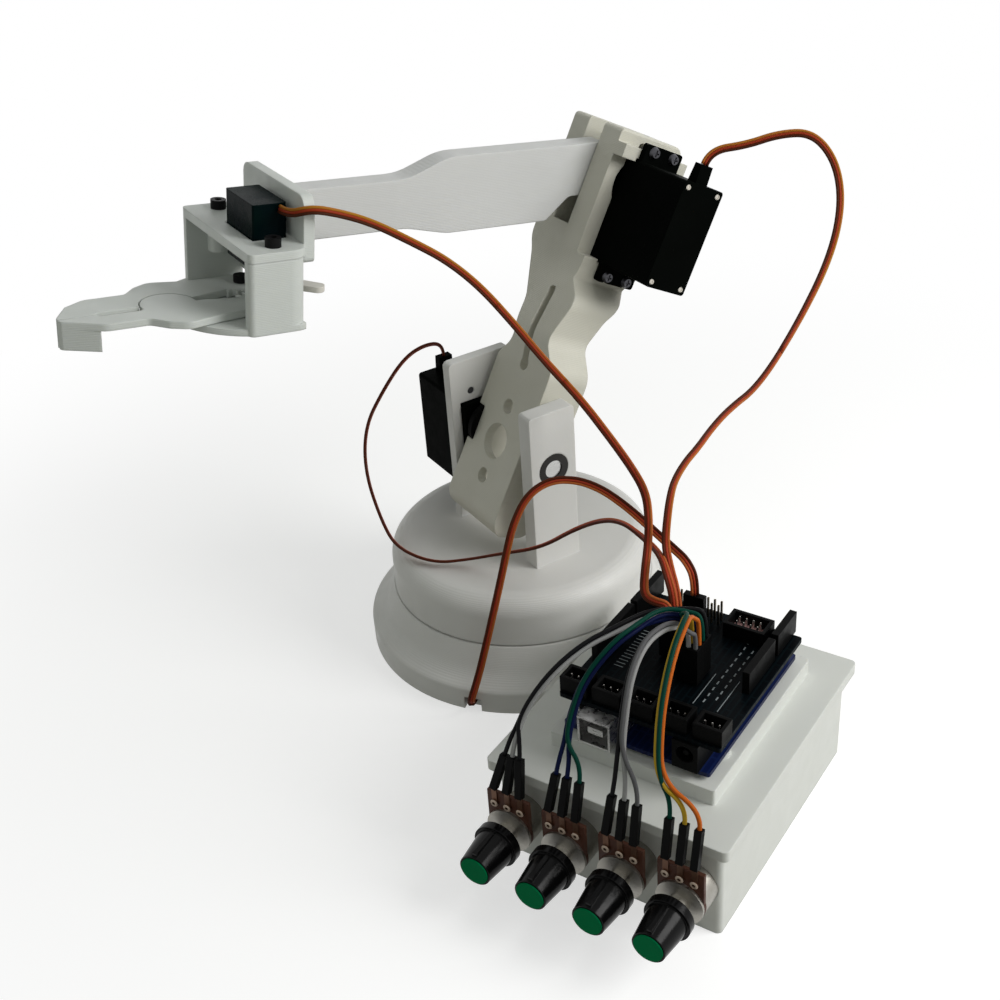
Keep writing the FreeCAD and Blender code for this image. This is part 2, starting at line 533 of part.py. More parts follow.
def lower_arm():
    foot = s.elbow_along - s.block_foot
    neck_high = smaller(s.neck_high, foot - s.neck_slope)
    ledge = CASE_DOWN - s.lug_margin + 3.4
    shelf = CASE_UP + s.lug_margin - 3.4
    brow = BLOCK_TOP - s.lug_margin * 2
    front_view = [(-s.arm_far, -s.arm_foot, 3.0), (s.arm_near, -s.arm_foot, 3.0),
                  (s.arm_near, s.arm_shoulder, 9.0), (s.neck_half, s.neck_low, 9.0),
                  (s.neck_half, neck_high, 8.0), (-LUG_FACE, foot, 2.0), (-LUG_FACE, ledge),
                  (-s.block_near, ledge), (-s.block_near, shelf), (-LUG_FACE, shelf),
                  (-LUG_FACE, brow), (-s.block_near, brow), (-s.block_near, BLOCK_TOP, 1.0),
                  (-BLOCK_FAR, BLOCK_TOP, 1.0), (-BLOCK_FAR, foot + 7, 8.0),
                  (-s.far_cheek, neck_high - 7, 14.0), (-s.far_neck, s.far_waist, 8.0),
                  (-s.arm_far, s.far_shoulder, 4.0)]
    rear = -(s.elbow_back + s.block_behind)
    ahead = s.block_ahead - s.elbow_back
    side_view = [(s.arm_front, -s.arm_foot, 8.0), (s.arm_front, s.neck_low, 20.0), (ahead, foot + 4, 20.0),
                 (ahead, BLOCK_TOP, 2.0), (rear, BLOCK_TOP, 4.0), (rear, foot + 9, 12.0),
                 (-s.arm_back - 5, neck_high - 5, 12.0), (-s.arm_back, s.neck_low, 12.0),
                 (-s.arm_back, -s.arm_foot, 8.0)]
    across = prism("arm_front_view", "YZ", front_view, rear - 1, s.arm_front + 1)
    along = prism("arm_side_view", "XZ", side_view, -BLOCK_FAR - 1, s.arm_near + 1)
    beam = common("arm_beam", across, along)
    hollow = prism("arm_hollow", "YZ", [
        (-s.arm_far + s.arm_wall, -s.arm_foot + s.arm_wall + 4),
        (s.arm_near - s.arm_wall, -s.arm_foot + s.arm_wall + 4),
        (s.arm_near - s.arm_wall, s.arm_shoulder - 4, 5.0), (s.neck_half - s.arm_wall, s.neck_low - 2),
        (-s.neck_half + s.arm_wall, s.neck_low - 2), (-s.arm_far + s.arm_wall, s.far_shoulder - 4, 3.0)],
        -s.arm_back - 1, s.arm_front - s.arm_wall)
    slot = prism("arm_slot", "XZ", [
        (rear + s.web_thick, BLOCK_TOP + 1), (rear + s.web_thick, s.elbow_along - s.slot_drop, 9.0),
        (-s.elbow_back + 16, s.elbow_along - s.slot_drop, 9.0),
        (ahead + 12, s.elbow_along - s.slot_drop + 18),
        (ahead + 12, BLOCK_TOP + 1)], -SLOT_FAR, -SLOT_NEAR)
    eyes = [rod("arm_eye_%d" % i, "x", (0, at - s.eye_drop), radius, 0, s.arm_front + 1)
            for i, (at, radius) in enumerate([(size(0), s.eye_radius), (s.eye_pitch, s.small_eye),
                                              (-s.eye_pitch, s.small_eye), (s.end_pitch, s.end_eye)])]
    half = s.slit_wide / 2
    low = s.end_pitch - s.eye_drop
    slit = prism("arm_slit", "YZ", [
        (-half, low), (half, low), (s.slit_side + half, s.slit_top, half * 0.8),
        (s.slit_side - half, s.slit_top, half * 0.8)], -s.slit_floor, s.arm_front + 1)
    case_x = (-s.elbow_back - CASE_HALF - s.servo_fit, -s.elbow_back + CASE_HALF + s.servo_fit)
    seat = box("arm_servo_seat", case_x, (-(SLOT_NEAR - s.near_wall + 2.2), s.arm_near),
               (CASE_DOWN - s.servo_fit, CASE_UP + s.servo_fit))
    way = rod("arm_horn_way", "y", (-s.elbow_back, s.elbow_along), s.horn_radius + s.horn_room,
              -SLOT_NEAR - 1, -s.block_near)
    bores = [rod("arm_bore_%d" % i, "y", (-s.elbow_back + at[1], s.elbow_along - at[0]),
                 s.screw_radius + s.screw_fit, -s.block_near - 4, 5) for i, at in enumerate(HOLES)]
    pivot = rod("arm_pivot", "y", (-s.elbow_back, s.elbow_along), s.pin_radius + s.pin_fit,
                -BLOCK_FAR - 1, -SLOT_FAR + 1)
    horn_face = -(s.wall_inner + s.wall_thick) + HORN_HIGH
    horn_seat = rod("arm_horn_seat", "y", (0, 0), s.horn_radius + s.fit, -s.arm_far - 1, horn_face)
    pin_way = rod("arm_pin_way", "y", (0, 0), s.bearing_inner + s.fit, s.arm_near - s.arm_wall - 1,
                  s.arm_near + 1)
    shell = cut("arm_shell", beam, hollow)
    pad_half = s.horn_radius + 2
    pad = box("arm_horn_pad", (-s.arm_back + 1, s.arm_front - s.arm_wall + 0.5),
              (-s.arm_far + s.arm_wall - 0.5, horn_face + s.arm_wall), (-pad_half, pad_half))
    solid = fuse("arm_solid", shell, pad)
    return cut("arm_cut", solid, slot, seat, way, pivot, horn_seat, pin_way, slit, *(eyes + bores))


node("lower_arm", lower_arm(), ARM_AT)
SHOULDER_HORN_AT = ARM_AT.multiply(servo_place(V(0, SHOULDER_LUGS.value, 0), V(0, 0, -1), V(0, 1, 0)))
node("shoulder_horn", horn("shoulder_horn"), SHOULDER_HORN_AT)
pin_inner = s.arm_near - s.arm_wall
pin_solid = fuse("shoulder_pin_solid",
                 rod("shoulder_pin_shank", "y", (0, 0), s.bearing_inner, pin_inner,
                     s.post_inner + s.post_thick - 0.5),
                 rod("shoulder_pin_collar", "y", (0, 0), s.bearing_inner + 1.4, s.arm_near,
                     s.post_inner + s.post_thick - s.bearing_wide - s.plate_gap))
node("shoulder_pin", pin_solid, ARM_AT)
node("elbow_servo", servo("elbow_servo"), ELBOW_SERVO_AT)
node("elbow_servo_screws", servo_screws("elbow_screws", HEADS_UNDER, (-s.lug_thick, s.screw_grip)),
     ELBOW_SERVO_AT)


# Forearm: stepped flat beam between the block's walls

FORE_NEAR = SLOT_NEAR + s.side_gap
FORE_FAR = FORE_NEAR + s.fore_thick
FORE_MIDDLE = FORE_NEAR + s.fore_thick / 2
HORN_FACE = LUG_FACE + HORN_HIGH


def forearm():
    outline = [(s.root_radius * 0.6, s.fore_top, 6.0), (s.taper_start, s.fore_top, 25.0),
               (s.taper_end, s.wrist_half, 25.0), (s.fore_long, s.wrist_half), (s.fore_long, -s.wrist_half),
               (s.taper_end, -s.wrist_half, 25.0), (s.taper_start, -s.fore_under, 25.0),
               (s.chamfer_out, -s.fore_under, 3.0), (s.chamfer_in, -s.chamfer_rise, 4.0),
               (s.root_radius * 0.6, -s.chamfer_rise), (0, 0)]
    beam = prism("fore_beam", "XZ", outline, -FORE_FAR, -FORE_NEAR)
    root = rod("fore_root", "y", (0, 0), s.root_radius, -FORE_FAR, -FORE_NEAR)
    boss = rod("fore_boss", "y", (0, 0), s.horn_radius + 0.6, -FORE_NEAR, -HORN_FACE)
    solid = fuse("fore_solid", beam, root, boss)
    pin_way = rod("fore_pin_way", "y", (0, 0), s.pin_radius + s.fit, -FORE_FAR - 1,
                  -FORE_FAR + s.pin_deep + 0.5)
    return cut("fore_cut", solid, pin_way)


node("forearm", forearm(), FORE_AT)
node("elbow_horn", horn("elbow_horn"),
     FORE_AT.multiply(servo_place(V(0, -LUG_FACE.value, 0), V(0, 0, -1), V(0, -1, 0))))
elbow_pin = fuse("elbow_pin_solid",
                 rod("elbow_pin_shank", "y", (0, 0), s.pin_radius, -BLOCK_FAR - s.plate_gap,
                     -FORE_FAR + s.pin_deep),
                 rod("elbow_pin_head", "y", (0, 0), s.pin_radius + 2, -BLOCK_FAR - s.plate_gap - 2,
                     -BLOCK_FAR - s.plate_gap))
node("elbow_pin", elbow_pin, FORE_AT)


# Gripper: bracket with the servo plate, cage walls and round floor under it, micro servo hung through

GRIP_MIDDLE = -FORE_MIDDLE
PLATE_UNDER = -s.plate_top - s.grip_plate
def past(length):
    """Place along the forearm of a length that counts from its end."""
    return s.fore_long + length


FLANGE_FRONT = past(s.flange_thick)
DRIVE_Y = GRIP_MIDDLE + s.pivot_half
DRIVEN_Y = GRIP_MIDDLE - s.pivot_half
FLOOR_TOP = -s.cage_bottom + s.floor_thick
JAW_LOW = FLOOR_TOP + s.jaw_under
JAW_TOP = JAW_LOW + s.jaw_thick
TAB_FACE = PLATE_UNDER - s.tab_drop
MICRO_PLANE = TAB_FACE - s.micro_tab
MICRO_AT = FORE_AT.multiply(servo_place(V(past(s.pivot_at).value, DRIVE_Y.value, MICRO_PLANE.value),
                                        V(0, -1, 0), V(0, 0, -1)))
MICRO_NEAR = -s.micro_inset
MICRO_FAR = s.micro_long - s.micro_inset
MICRO_HALF = s.micro_wide / 2
MICRO_BOTTOM = -(s.micro_tab_under + s.micro_tab)
HUMP_TOP = MICRO_BOTTOM + s.micro_case + s.hump_high
MICRO_HORN = MICRO_PLANE - HUMP_TOP - s.plate_gap
TAB_HOLES = [MICRO_NEAR - s.micro_reach / 2, MICRO_FAR + s.micro_reach / 2]
SOCKETS = [(past(s.socket_at), GRIP_MIDDLE + side * s.socket_half) for side in (-1, 1)]


def grip_outline(back):
    half = s.grip_wide / 2
    return [(back, GRIP_MIDDLE - half, s.grip_round), (past(s.plate_front), GRIP_MIDDLE - half, 2.0),
            (past(s.plate_front), GRIP_MIDDLE + half, 2.0), (back, GRIP_MIDDLE + half, s.grip_round)]


def gripper_bracket():
    plate = prism("grip_plate", "XY", grip_outline(FLANGE_FRONT - 0.5), PLATE_UNDER, -s.plate_top)
    half = s.flange_wide / 2
    flange = prism("grip_flange", "YZ", [
        (GRIP_MIDDLE - half, -s.flange_bottom, 2.0), (GRIP_MIDDLE + half, -s.flange_bottom, 2.0),
        (GRIP_MIDDLE + half, s.flange_top, 4.0), (GRIP_MIDDLE - half, s.flange_top, 4.0)],
        s.fore_long, FLANGE_FRONT)
    pads = [box("grip_pad_%d" % i, (past(s.pivot_at) - MICRO_HALF, past(s.pivot_at) + MICRO_HALF),
                (DRIVE_Y - at - s.micro_reach / 2, DRIVE_Y - at + s.micro_reach / 2), (TAB_FACE, PLATE_UNDER))
            for i, at in enumerate(TAB_HOLES)]
    solid = fuse("grip_solid", plate, flange, *pads)
    case = box("grip_case_way", (past(s.pivot_at) - MICRO_HALF - s.micro_fit,
                                 past(s.pivot_at) + MICRO_HALF + s.micro_fit),
               (DRIVE_Y - MICRO_FAR - s.micro_fit, DRIVE_Y - MICRO_NEAR + s.micro_fit),
               (TAB_FACE - 1, -s.plate_top + 1))
    ways = [rod("grip_socket_way_%d" % i, "z", at, s.screw_radius + s.screw_fit, PLATE_UNDER - 1,
                -s.plate_top + 1)
            for i, at in enumerate(SOCKETS)]
    tabs = [rod("grip_tab_way_%d" % i, "z", (past(s.pivot_at), DRIVE_Y - at), s.micro_screw + s.screw_fit,
                TAB_FACE - 1, TAB_FACE + 3) for i, at in enumerate(TAB_HOLES)]
    return cut("grip_cut", solid, case, *(ways + tabs))


def gripper_cage():
    """Walls under the plate, a round floor that carries the jaws, and a window behind for the horn."""
    outer = prism("cage_outer", "XY", grip_outline(FLANGE_FRONT), -s.cage_bottom, PLATE_UNDER)
    inner_half = s.grip_wide / 2 - s.cage_wall
    bulk = box("cage_inside", (FLANGE_FRONT + s.cage_back, past(s.plate_front) + 1),
               (GRIP_MIDDLE - inner_half, GRIP_MIDDLE + inner_half), (-s.cage_bottom - 1, PLATE_UNDER + 1))
    window = box("cage_window", (FLANGE_FRONT - 1, FLANGE_FRONT + s.cage_back + 1),
                 (GRIP_MIDDLE - inner_half + s.cage_back_wide, GRIP_MIDDLE + inner_half),
                 (FLOOR_TOP, PLATE_UNDER + 1))
    hub_way = box("cage_hub_way", (FLANGE_FRONT - 1, FLANGE_FRONT + s.cage_back + 1),
                  (GRIP_MIDDLE - inner_half, GRIP_MIDDLE + inner_half), (FLOOR_TOP, JAW_TOP + s.jaw_under))
    shell = cut("cage_shell", outer, bulk, window, hub_way)
    disc = rod("cage_disc", "z", (past(s.floor_at), GRIP_MIDDLE), s.floor_radius, -s.cage_bottom, FLOOR_TOP)
    ahead = box("cage_ahead", (FLANGE_FRONT + 1, past(s.floor_at) + s.floor_radius + 1),
                (GRIP_MIDDLE - s.grip_wide / 2, GRIP_MIDDLE + s.grip_wide / 2),
                (-s.cage_bottom - 1, FLOOR_TOP + 1))
    floor = common("cage_floor", disc, ahead)
    pads = [rod("cage_pad_%d" % i, "z", at, s.cage_wall, PLATE_UNDER - 12, PLATE_UNDER)
            for i, at in enumerate(SOCKETS)]
    whole = fuse("cage_whole", shell, floor, *pads)
    bores = [rod("cage_bore_%d" % i, "z", at, s.screw_radius + s.screw_fit, PLATE_UNDER - 11, PLATE_UNDER + 1)
             for i, at in enumerate(SOCKETS)]
    tap = rod("cage_tap", "z", (past(s.pivot_at), DRIVEN_Y), s.screw_radius + s.screw_fit, -s.cage_bottom - 1,
              FLOOR_TOP + 1)
    tab_room = box("cage_tab_room", (past(s.pivot_at) - MICRO_HALF - s.micro_fit,
                                     past(s.pivot_at) + MICRO_HALF + s.micro_fit),
                   (DRIVE_Y - MICRO_FAR - s.micro_reach - s.micro_fit,
                    DRIVE_Y - MICRO_NEAR + s.micro_reach + s.micro_fit),
                   (JAW_TOP + s.jaw_under, PLATE_UNDER + 1))
    return cut("cage_cut", whole, tap, tab_room, *bores)


def micro_servo():
    edge = 0.8
    outline = [(MICRO_NEAR, -MICRO_HALF, edge), (MICRO_FAR, -MICRO_HALF, edge), (MICRO_FAR, MICRO_HALF, edge),
               (MICRO_NEAR, MICRO_HALF, edge)]
    top = MICRO_BOTTOM + s.micro_case
    case = prism("micro_case", "XY", outline, MICRO_BOTTOM, top)
    tabs = box("micro_tabs", (MICRO_NEAR - s.micro_reach, MICRO_FAR + s.micro_reach),
               (-MICRO_HALF, MICRO_HALF),
               (-s.micro_tab, 0))
    hump = rod("micro_hump", "z", (0, 0), s.micro_inset, top, top + s.hump_high)
    second = rod("micro_second", "z", (s.micro_inset + 1, 0), 2.6, top, top + s.hump_high)
    spline = rod("micro_spline", "z", (0, 0), s.micro_spline, top + s.hump_high,
                 top + s.hump_high + s.micro_spline_high)
    solid = fuse("micro_solid", case, tabs, hump, second, spline)
    bores = [rod("micro_bore_%d" % i, "z", (at, 0), s.micro_screw + s.screw_fit, -s.micro_tab - 1, 1)
             for i, at in enumerate(TAB_HOLES)]
    return cut("micro_cut", solid, *bores)


def gripper_horn():
    hub = rod("grip_horn_hub", "z", (0, 0), s.horn_hub, -s.horn_plate, 0)
    half = s.horn_tip
    arm = prism("grip_horn_arm", "XY", [(0, -s.horn_hub), (s.horn_reach, -half, half * 0.9),
                                        (s.horn_reach, half, half * 0.9), (0, s.horn_hub)], -s.horn_plate, 0)
    bore = rod("grip_horn_bore", "z", (0, 0), s.micro_spline + s.spline_fit, -s.horn_plate - 1, 1)
    return cut("grip_horn_cut", fuse("grip_horn_solid", hub, arm), bore)


def gripper_screws():
    """Two socket screws through the plate, two tab screws and the driven jaw's pivot screw."""
    screws = []
    for i, at in enumerate(SOCKETS):
        head = rod("socket_head_%d" % i, "z", at, s.socket_head, -s.plate_top, -s.plate_top + s.socket_high)
        shank = rod("socket_shank_%d" % i, "z", at, s.screw_radius, PLATE_UNDER - 10, -s.plate_top)
        recess = rod("socket_recess_%d" % i, "z", at, s.screw_radius * 0.85,
                     -s.plate_top + s.socket_high * 0.45,
                     -s.plate_top + s.socket_high + 1)
        screws.append(cut("socket_screw_%d" % i, fuse("socket_solid_%d" % i, head, shank), recess))
    for i, at in enumerate(TAB_HOLES):
        across = (past(s.pivot_at), DRIVE_Y - at)
        head = rod("tab_head_%d" % i, "z", across, s.micro_screw * 2, MICRO_PLANE - 1.4, MICRO_PLANE)
        shank = rod("tab_shank_%d" % i, "z", across, s.micro_screw, MICRO_PLANE, TAB_FACE + 2)
        screws.append(fuse("tab_screw_%d" % i, head, shank))
    across = (past(s.pivot_at), DRIVEN_Y)
    head = rod("pivot_head", "z", across, s.socket_head, JAW_TOP + s.jaw_under, JAW_TOP + s.jaw_under + 2.4)
    shank = rod("pivot_shank", "z", across, s.screw_radius, -s.cage_bottom, JAW_TOP + s.jaw_under)
    screws.append(fuse("pivot_screw", head, shank))
    return group("gripper_screw_set", screws)


node("gripper_bracket", gripper_bracket(), FORE_AT)
node("gripper_cage", gripper_cage(), FORE_AT)
node("gripper_servo", micro_servo(), MICRO_AT)
node("gripper_screws", gripper_screws(), FORE_AT)
node("gripper_horn", gripper_horn(),
     FORE_AT.multiply(FreeCAD.Placement(V(past(s.pivot_at).value, DRIVE_Y.value, MICRO_HORN.value),
                                        FreeCAD.Rotation(V(0, 0, 1), num("horn_turn")))))


# Jaws: toothed hubs that mesh on the bracket's middle line, arms that close round an eye

def toothed_hub(name, y, facing, phase):
    """Hub with gear teeth round the side that faces the other jaw."""
    disc = rod(name + "_disc", "z", (past(s.pivot_at), y), s.gear_root, JAW_LOW, JAW_TOP)
    step = 360.0 / num("tooth_count")
    teeth = []
    for i in range(-3, 4):
        tooth = prism("%s_tooth_%d" % (name, i + 3), "XY", [
            (s.gear_root - 1, -s.tooth_root), (s.gear_tip, -s.tooth_tip), (s.gear_tip, s.tooth_tip),
            (s.gear_root - 1, s.tooth_root)], JAW_LOW, JAW_TOP)
        turn = facing + (i + phase) * step
        tooth.Placement = FreeCAD.Placement(V(past(s.pivot_at).value, y.value, 0),
                                            FreeCAD.Rotation(V(0, 0, 1), turn))
        teeth.append(tooth)
    return fuse(name + "_hub", disc, *teeth)


def jaw_arm(name, side):
    """Arm of one jaw: side is 1 for the jaw on the servo's side and -1 for the other."""
    part_line = GRIP_MIDDLE + s.jaw_part + side * s.jaw_gap
    eye = GRIP_MIDDLE + s.jaw_part + side * s.eye_half
    tip_back = past(s.jaw_tip) - s.tip_long
    hub_y = GRIP_MIDDLE + side * s.pivot_half

    def out(reach):
        return GRIP_MIDDLE + side * reach

    corners = [(past(s.pivot_at) + 4, out(s.pivot_half * 0.55)), (past(s.hip_at), out(s.jaw_part * 0.8)),
               (past(s.eye_start) - 2, part_line), (past(s.eye_start), eye, 1.0), (tip_back - 2, eye, 1.0),
               (tip_back, part_line),
               (past(s.jaw_tip), part_line, 0.6), (past(s.jaw_tip) - 1.0, part_line + side * 2.0, 1.0),
               (past(s.nose_at), out(s.nose_side)), (past(s.chin_at), out(s.jaw_half), 6.0),
               (past(s.eye_start), out(s.jaw_half), 3.0), (past(s.cheek_at), out(s.cheek_side), 4.0),
               (past(s.bulge_at), out(s.bulge_side), 6.0), (past(s.hip_at), out(s.hip_side), 10.0),
               (past(s.pivot_at) + 4, hub_y + side * s.gear_root * 0.8)]
    return prism(name + "_arm", "XY", corners, JAW_LOW, JAW_TOP)


def hook(name, side):
    """Block under the tip that does the gripping."""
    part_line = GRIP_MIDDLE + s.jaw_part + side * s.jaw_gap
    back = past(s.jaw_tip) - s.tip_long
    corners = [(back, part_line), (past(s.jaw_tip), part_line, 0.6),
               (past(s.jaw_tip) - 1.0, part_line + side * 2.0, 1.0),
               (past(s.nose_at), GRIP_MIDDLE + side * s.nose_side),
               (back, GRIP_MIDDLE + side * (s.jaw_half - 1.2))]
    return prism(name + "_hook", "XY", corners, JAW_TOP - s.hook_deep, JAW_LOW + 0.5)


def drive_jaw():
    hub = toothed_hub("drive", DRIVE_Y, -90.0, 0.0)
    boss = rod("drive_boss", "z", (past(s.pivot_at), DRIVE_Y), s.jaw_boss, JAW_TOP, MICRO_HORN - s.horn_plate)
    lobe = rod("drive_lobe", "z", (past(s.lobe_at), GRIP_MIDDLE + s.lobe_side), s.lobe_radius, JAW_LOW, JAW_TOP)
    solid = fuse("drive_solid", hub, jaw_arm("drive", 1), hook("drive", 1), lobe, boss)
    bore = rod("drive_bore", "z", (past(s.pivot_at), DRIVE_Y), s.micro_spline + s.plate_gap,
               MICRO_HORN - s.horn_plate - 2,
               MICRO_HORN)
    return cut("drive_cut", solid, bore)


def driven_jaw():
    hub = toothed_hub("driven", DRIVEN_Y, 90.0, 0.5)
    solid = fuse("driven_solid", hub, jaw_arm("driven", -1), hook("driven", -1))
    recess = rod("driven_recess", "z", (past(s.lobe_at), GRIP_MIDDLE + s.lobe_side), s.lobe_radius + s.lobe_gap,
                 JAW_LOW - 1, JAW_TOP + 1)
    bore = rod("driven_bore", "z", (past(s.pivot_at), DRIVEN_Y), s.screw_radius + s.pin_fit, JAW_LOW - 1,
               JAW_TOP + 1)
    return cut("driven_cut", solid, recess, bore)


node("drive_jaw", drive_jaw(), FORE_AT)
node("driven_jaw", driven_jaw(), FORE_AT)


# Control box in its own frame: front towards +x, right towards +y

LID_FRONT = s.lid_deep / 2
LID_SIDE = s.lid_wide / 2
BOX_FRONT = LID_FRONT - s.lid_over
BOX_SIDE = LID_SIDE - s.lid_over
LID_UNDER = s.lid_top - s.lid_thick
PLINTH_TOP = s.lid_top + s.plinth_high
BOARD_LOW = PLINTH_TOP + s.board_lift
BOARD_TOP = BOARD_LOW + s.board_thick
POTS = [(i - 1.5) * s.pot_pitch for i in range(4)]


def rounded(half_x, half_y, radius):
    return [(-half_x, -half_y, radius), (half_x, -half_y, radius), (half_x, half_y, radius),
            (-half_x, half_y, radius)]


def control_box():
    outer = prism("box_outer", "XY", rounded(BOX_FRONT, BOX_SIDE, s.corner_round), 0, LID_UNDER)
    inner = box("box_inner", (-BOX_FRONT + s.box_wall, BOX_FRONT - s.box_wall),
                (-BOX_SIDE + s.box_wall, BOX_SIDE - s.box_wall), (s.box_floor, LID_UNDER + 1))
    seats = [rod("box_seat_%d" % i, "x", (y, s.pot_high), s.can_radius + s.fit, BOX_FRONT - s.can_seat,
                 BOX_FRONT + 1)
             for i, y in enumerate(POTS)]
    return cut("box_cut", outer, inner, *seats)


def control_box_lid():
    top = prism("lid_top_plate", "XY", rounded(LID_FRONT, LID_SIDE, s.corner_round), LID_UNDER, s.lid_top)
    lip_front = BOX_FRONT - s.box_wall - s.lid_fit
    lip_side = BOX_SIDE - s.box_wall - s.lid_fit
    lip = box("lid_lip_block", (-lip_front, lip_front), (-lip_side, lip_side),
              (LID_UNDER - s.lid_lip, LID_UNDER))
    lip_in = box("lid_lip_inside", (-lip_front + 2.5, lip_front - 2.5), (-lip_side + 2.5, lip_side - 2.5),
                 (LID_UNDER - s.lid_lip - 1, LID_UNDER))
    edge = s.plinth_margin
    plinth = prism("lid_plinth", "XY", [
        (s.board_front - s.board_long - edge, s.board_right - s.board_wide - edge, 1.0),
        (s.board_front + edge, s.board_right - s.board_wide - edge, 1.0),
        (s.board_front + edge, s.board_right + edge, 1.0),
        (s.board_front - s.board_long - edge, s.board_right + edge, 1.0)], s.lid_top, PLINTH_TOP)
    posts = [rod("lid_post_%d" % i, "z", at, s.standoff_radius, PLINTH_TOP, BOARD_LOW)
             for i, at in enumerate(board_holes())]
    ring = cut("lid_ring", lip, lip_in)
    return fuse("lid_solid", top, ring, plinth, *posts)


def board_holes():
    right = s.board_right
    front = s.board_front
    return [(front - 14.0, right - 2.5), (front - 15.3, right - 50.7), (front - 66.0, right - 7.6),
            (front - 66.0, right - 35.5)]


def controller_board():
    sheet_body = prism("board_sheet", "XY", [
        (s.board_front - s.board_long, s.board_right - s.board_wide, 1.0),
        (s.board_front, s.board_right - s.board_wide, 1.0), (s.board_front, s.board_right, 1.0),
        (s.board_front - s.board_long, s.board_right, 1.0)], BOARD_LOW, BOARD_TOP)
    holes = [rod("board_hole_%d" % i, "z", at, 1.6, BOARD_LOW, BOARD_TOP + 1)
             for i, at in enumerate(board_holes())]
    return cut("board_cut", sheet_body, *holes)


def usb_socket():
    y_high = s.board_right - s.usb_side
    y_low = y_high - s.usb_wide
    front = s.board_front + s.usb_proud
    shell = box("usb_block", (front - s.usb_deep, front), (y_low, y_high),
                (BOARD_TOP, BOARD_TOP + s.usb_high))
    mouth = box("usb_mouth", (front - 9, front + 1), (y_low + s.usb_shell, y_high - s.usb_shell),
                (BOARD_TOP + s.usb_shell, BOARD_TOP + s.usb_high - s.usb_shell))
    tongue = box("usb_tongue", (front - 9.5, front - 1.2), (y_low + 3.2, y_high - 3.2),
                 (BOARD_TOP + 4.2, BOARD_TOP + 6.7))
    return fuse("usb_whole", cut("usb_shell_cut", shell, mouth), tongue)


def power_jack():
    y_high = s.board_right - s.jack_side
    front = s.board_front + s.jack_proud
    body = box("jack_block", (front - s.jack_deep, front), (y_high - s.jack_wide, y_high),
               (BOARD_TOP, BOARD_TOP + s.jack_high))
    middle = (y_high - s.jack_wide / 2, BOARD_TOP + s.jack_high * 0.58)
    bore = rod("jack_bore_way", "x", middle, s.jack_bore, front - 10, front + 1)
    pin = rod("jack_pin", "x", middle, 1.0, front - 10.5, front - 1)
    return fuse("jack_whole", cut("jack_cut", body, bore), pin)


SWITCH_AT = (s.board_front - s.switch_in, s.board_right - s.switch_side)


def reset_switch():
    half = s.switch_size / 2
    body = box("switch_body", (SWITCH_AT[0] - half, SWITCH_AT[0] + half),
               (SWITCH_AT[1] - half, SWITCH_AT[1] + half),
               (BOARD_TOP, BOARD_TOP + s.switch_high))
    well = rod("switch_well", "z", SWITCH_AT, s.button_radius + s.shaft_fit, BOARD_TOP + s.switch_high - 1.5,
               BOARD_TOP + s.switch_high + 1)
    return cut("switch_cut", body, well)


def reset_button():
    low = BOARD_TOP + s.switch_high - 1.5 + s.button_travel + 0.1
    return rod("reset_plunger", "z", SWITCH_AT, s.button_radius, low,
               BOARD_TOP + s.switch_high + s.button_high)


SHIELD_LOW = BOARD_TOP + s.strip_high + s.shield_gap
SHIELD_TOP = SHIELD_LOW + s.board_thick
SHIELD_BACK = s.shield_front - s.shield_long
SHIELD_LEFT = s.shield_right - s.shield_wide


def strip(name, x_low, x_high, y, base):
    return box(name, (x_low, x_high), (y - s.strip_wide / 2, y + s.strip_wide / 2),
               (base, base + s.strip_high))


def header_strips():
    """Female strips on both boards: two on each long side."""
    right = s.board_right - s.strip_in - s.strip_wide / 2
    left = s.board_right - s.board_wide + s.strip_in + s.strip_wide / 2
    front = s.board_front
    runs = [("power", front - 47.5, front - 27.2, right), ("analog", front - 65.0, front - 49.8, right),
            ("digital_high", front - 43.0, front - 17.6, left),
            ("digital_low", front - 65.0, front - 44.7, left)]
    strips = []
    for name, low, high, y in runs:
        strips.append(strip("strip_" + name, low, high, y, BOARD_TOP))
    for name, low, high, y in runs:
        shift = s.shield_right - s.board_right - 2.0 if name in ("power", "analog") else 0
        strips.append(strip("shield_strip_" + name, low, high, y + shift, SHIELD_TOP))
    return group("strip_group", strips)


def shield_board():
    sheet_body = prism("shield_sheet", "XY", [
        (SHIELD_BACK, SHIELD_LEFT, 1.0), (s.shield_front, SHIELD_LEFT, 1.0),
        (s.shield_front, s.shield_right, 1.0),
        (SHIELD_BACK, s.shield_right, 1.0)], SHIELD_LOW, SHIELD_TOP)
    return group("shield_group", [sheet_body])


def shield_sockets():
    """Open-topped keyed sockets along the front edge, and one at the back right."""
    sockets = []
    pitch = (s.shield_wide - s.socket_wide) / 4
    for i in range(5):
        y_low = SHIELD_LEFT + i * pitch
        sockets.append(keyed_socket("socket_%d" % i, s.shield_front - 1 - s.socket_deep, y_low, s.socket_deep,
                                    s.socket_wide))
    sockets.append(keyed_socket("socket_back", SHIELD_BACK + 3, s.shield_right - 24, s.socket_deep + 1.5,
                                size(15.0)))
    return group("socket_group", sockets)


def keyed_socket(name, x_low, y_low, deep, wide):
    wall = 1.2
    block = box(name + "_block", (x_low, x_low + deep), (y_low, y_low + wide),
                (SHIELD_TOP, SHIELD_TOP + s.socket_high_up))
    well = box(name + "_well", (x_low + wall, x_low + deep - wall), (y_low + wall, y_low + wide - wall),
               (SHIELD_TOP + 1.0, SHIELD_TOP + s.socket_high_up + 1))
    return cut(name, block, well)


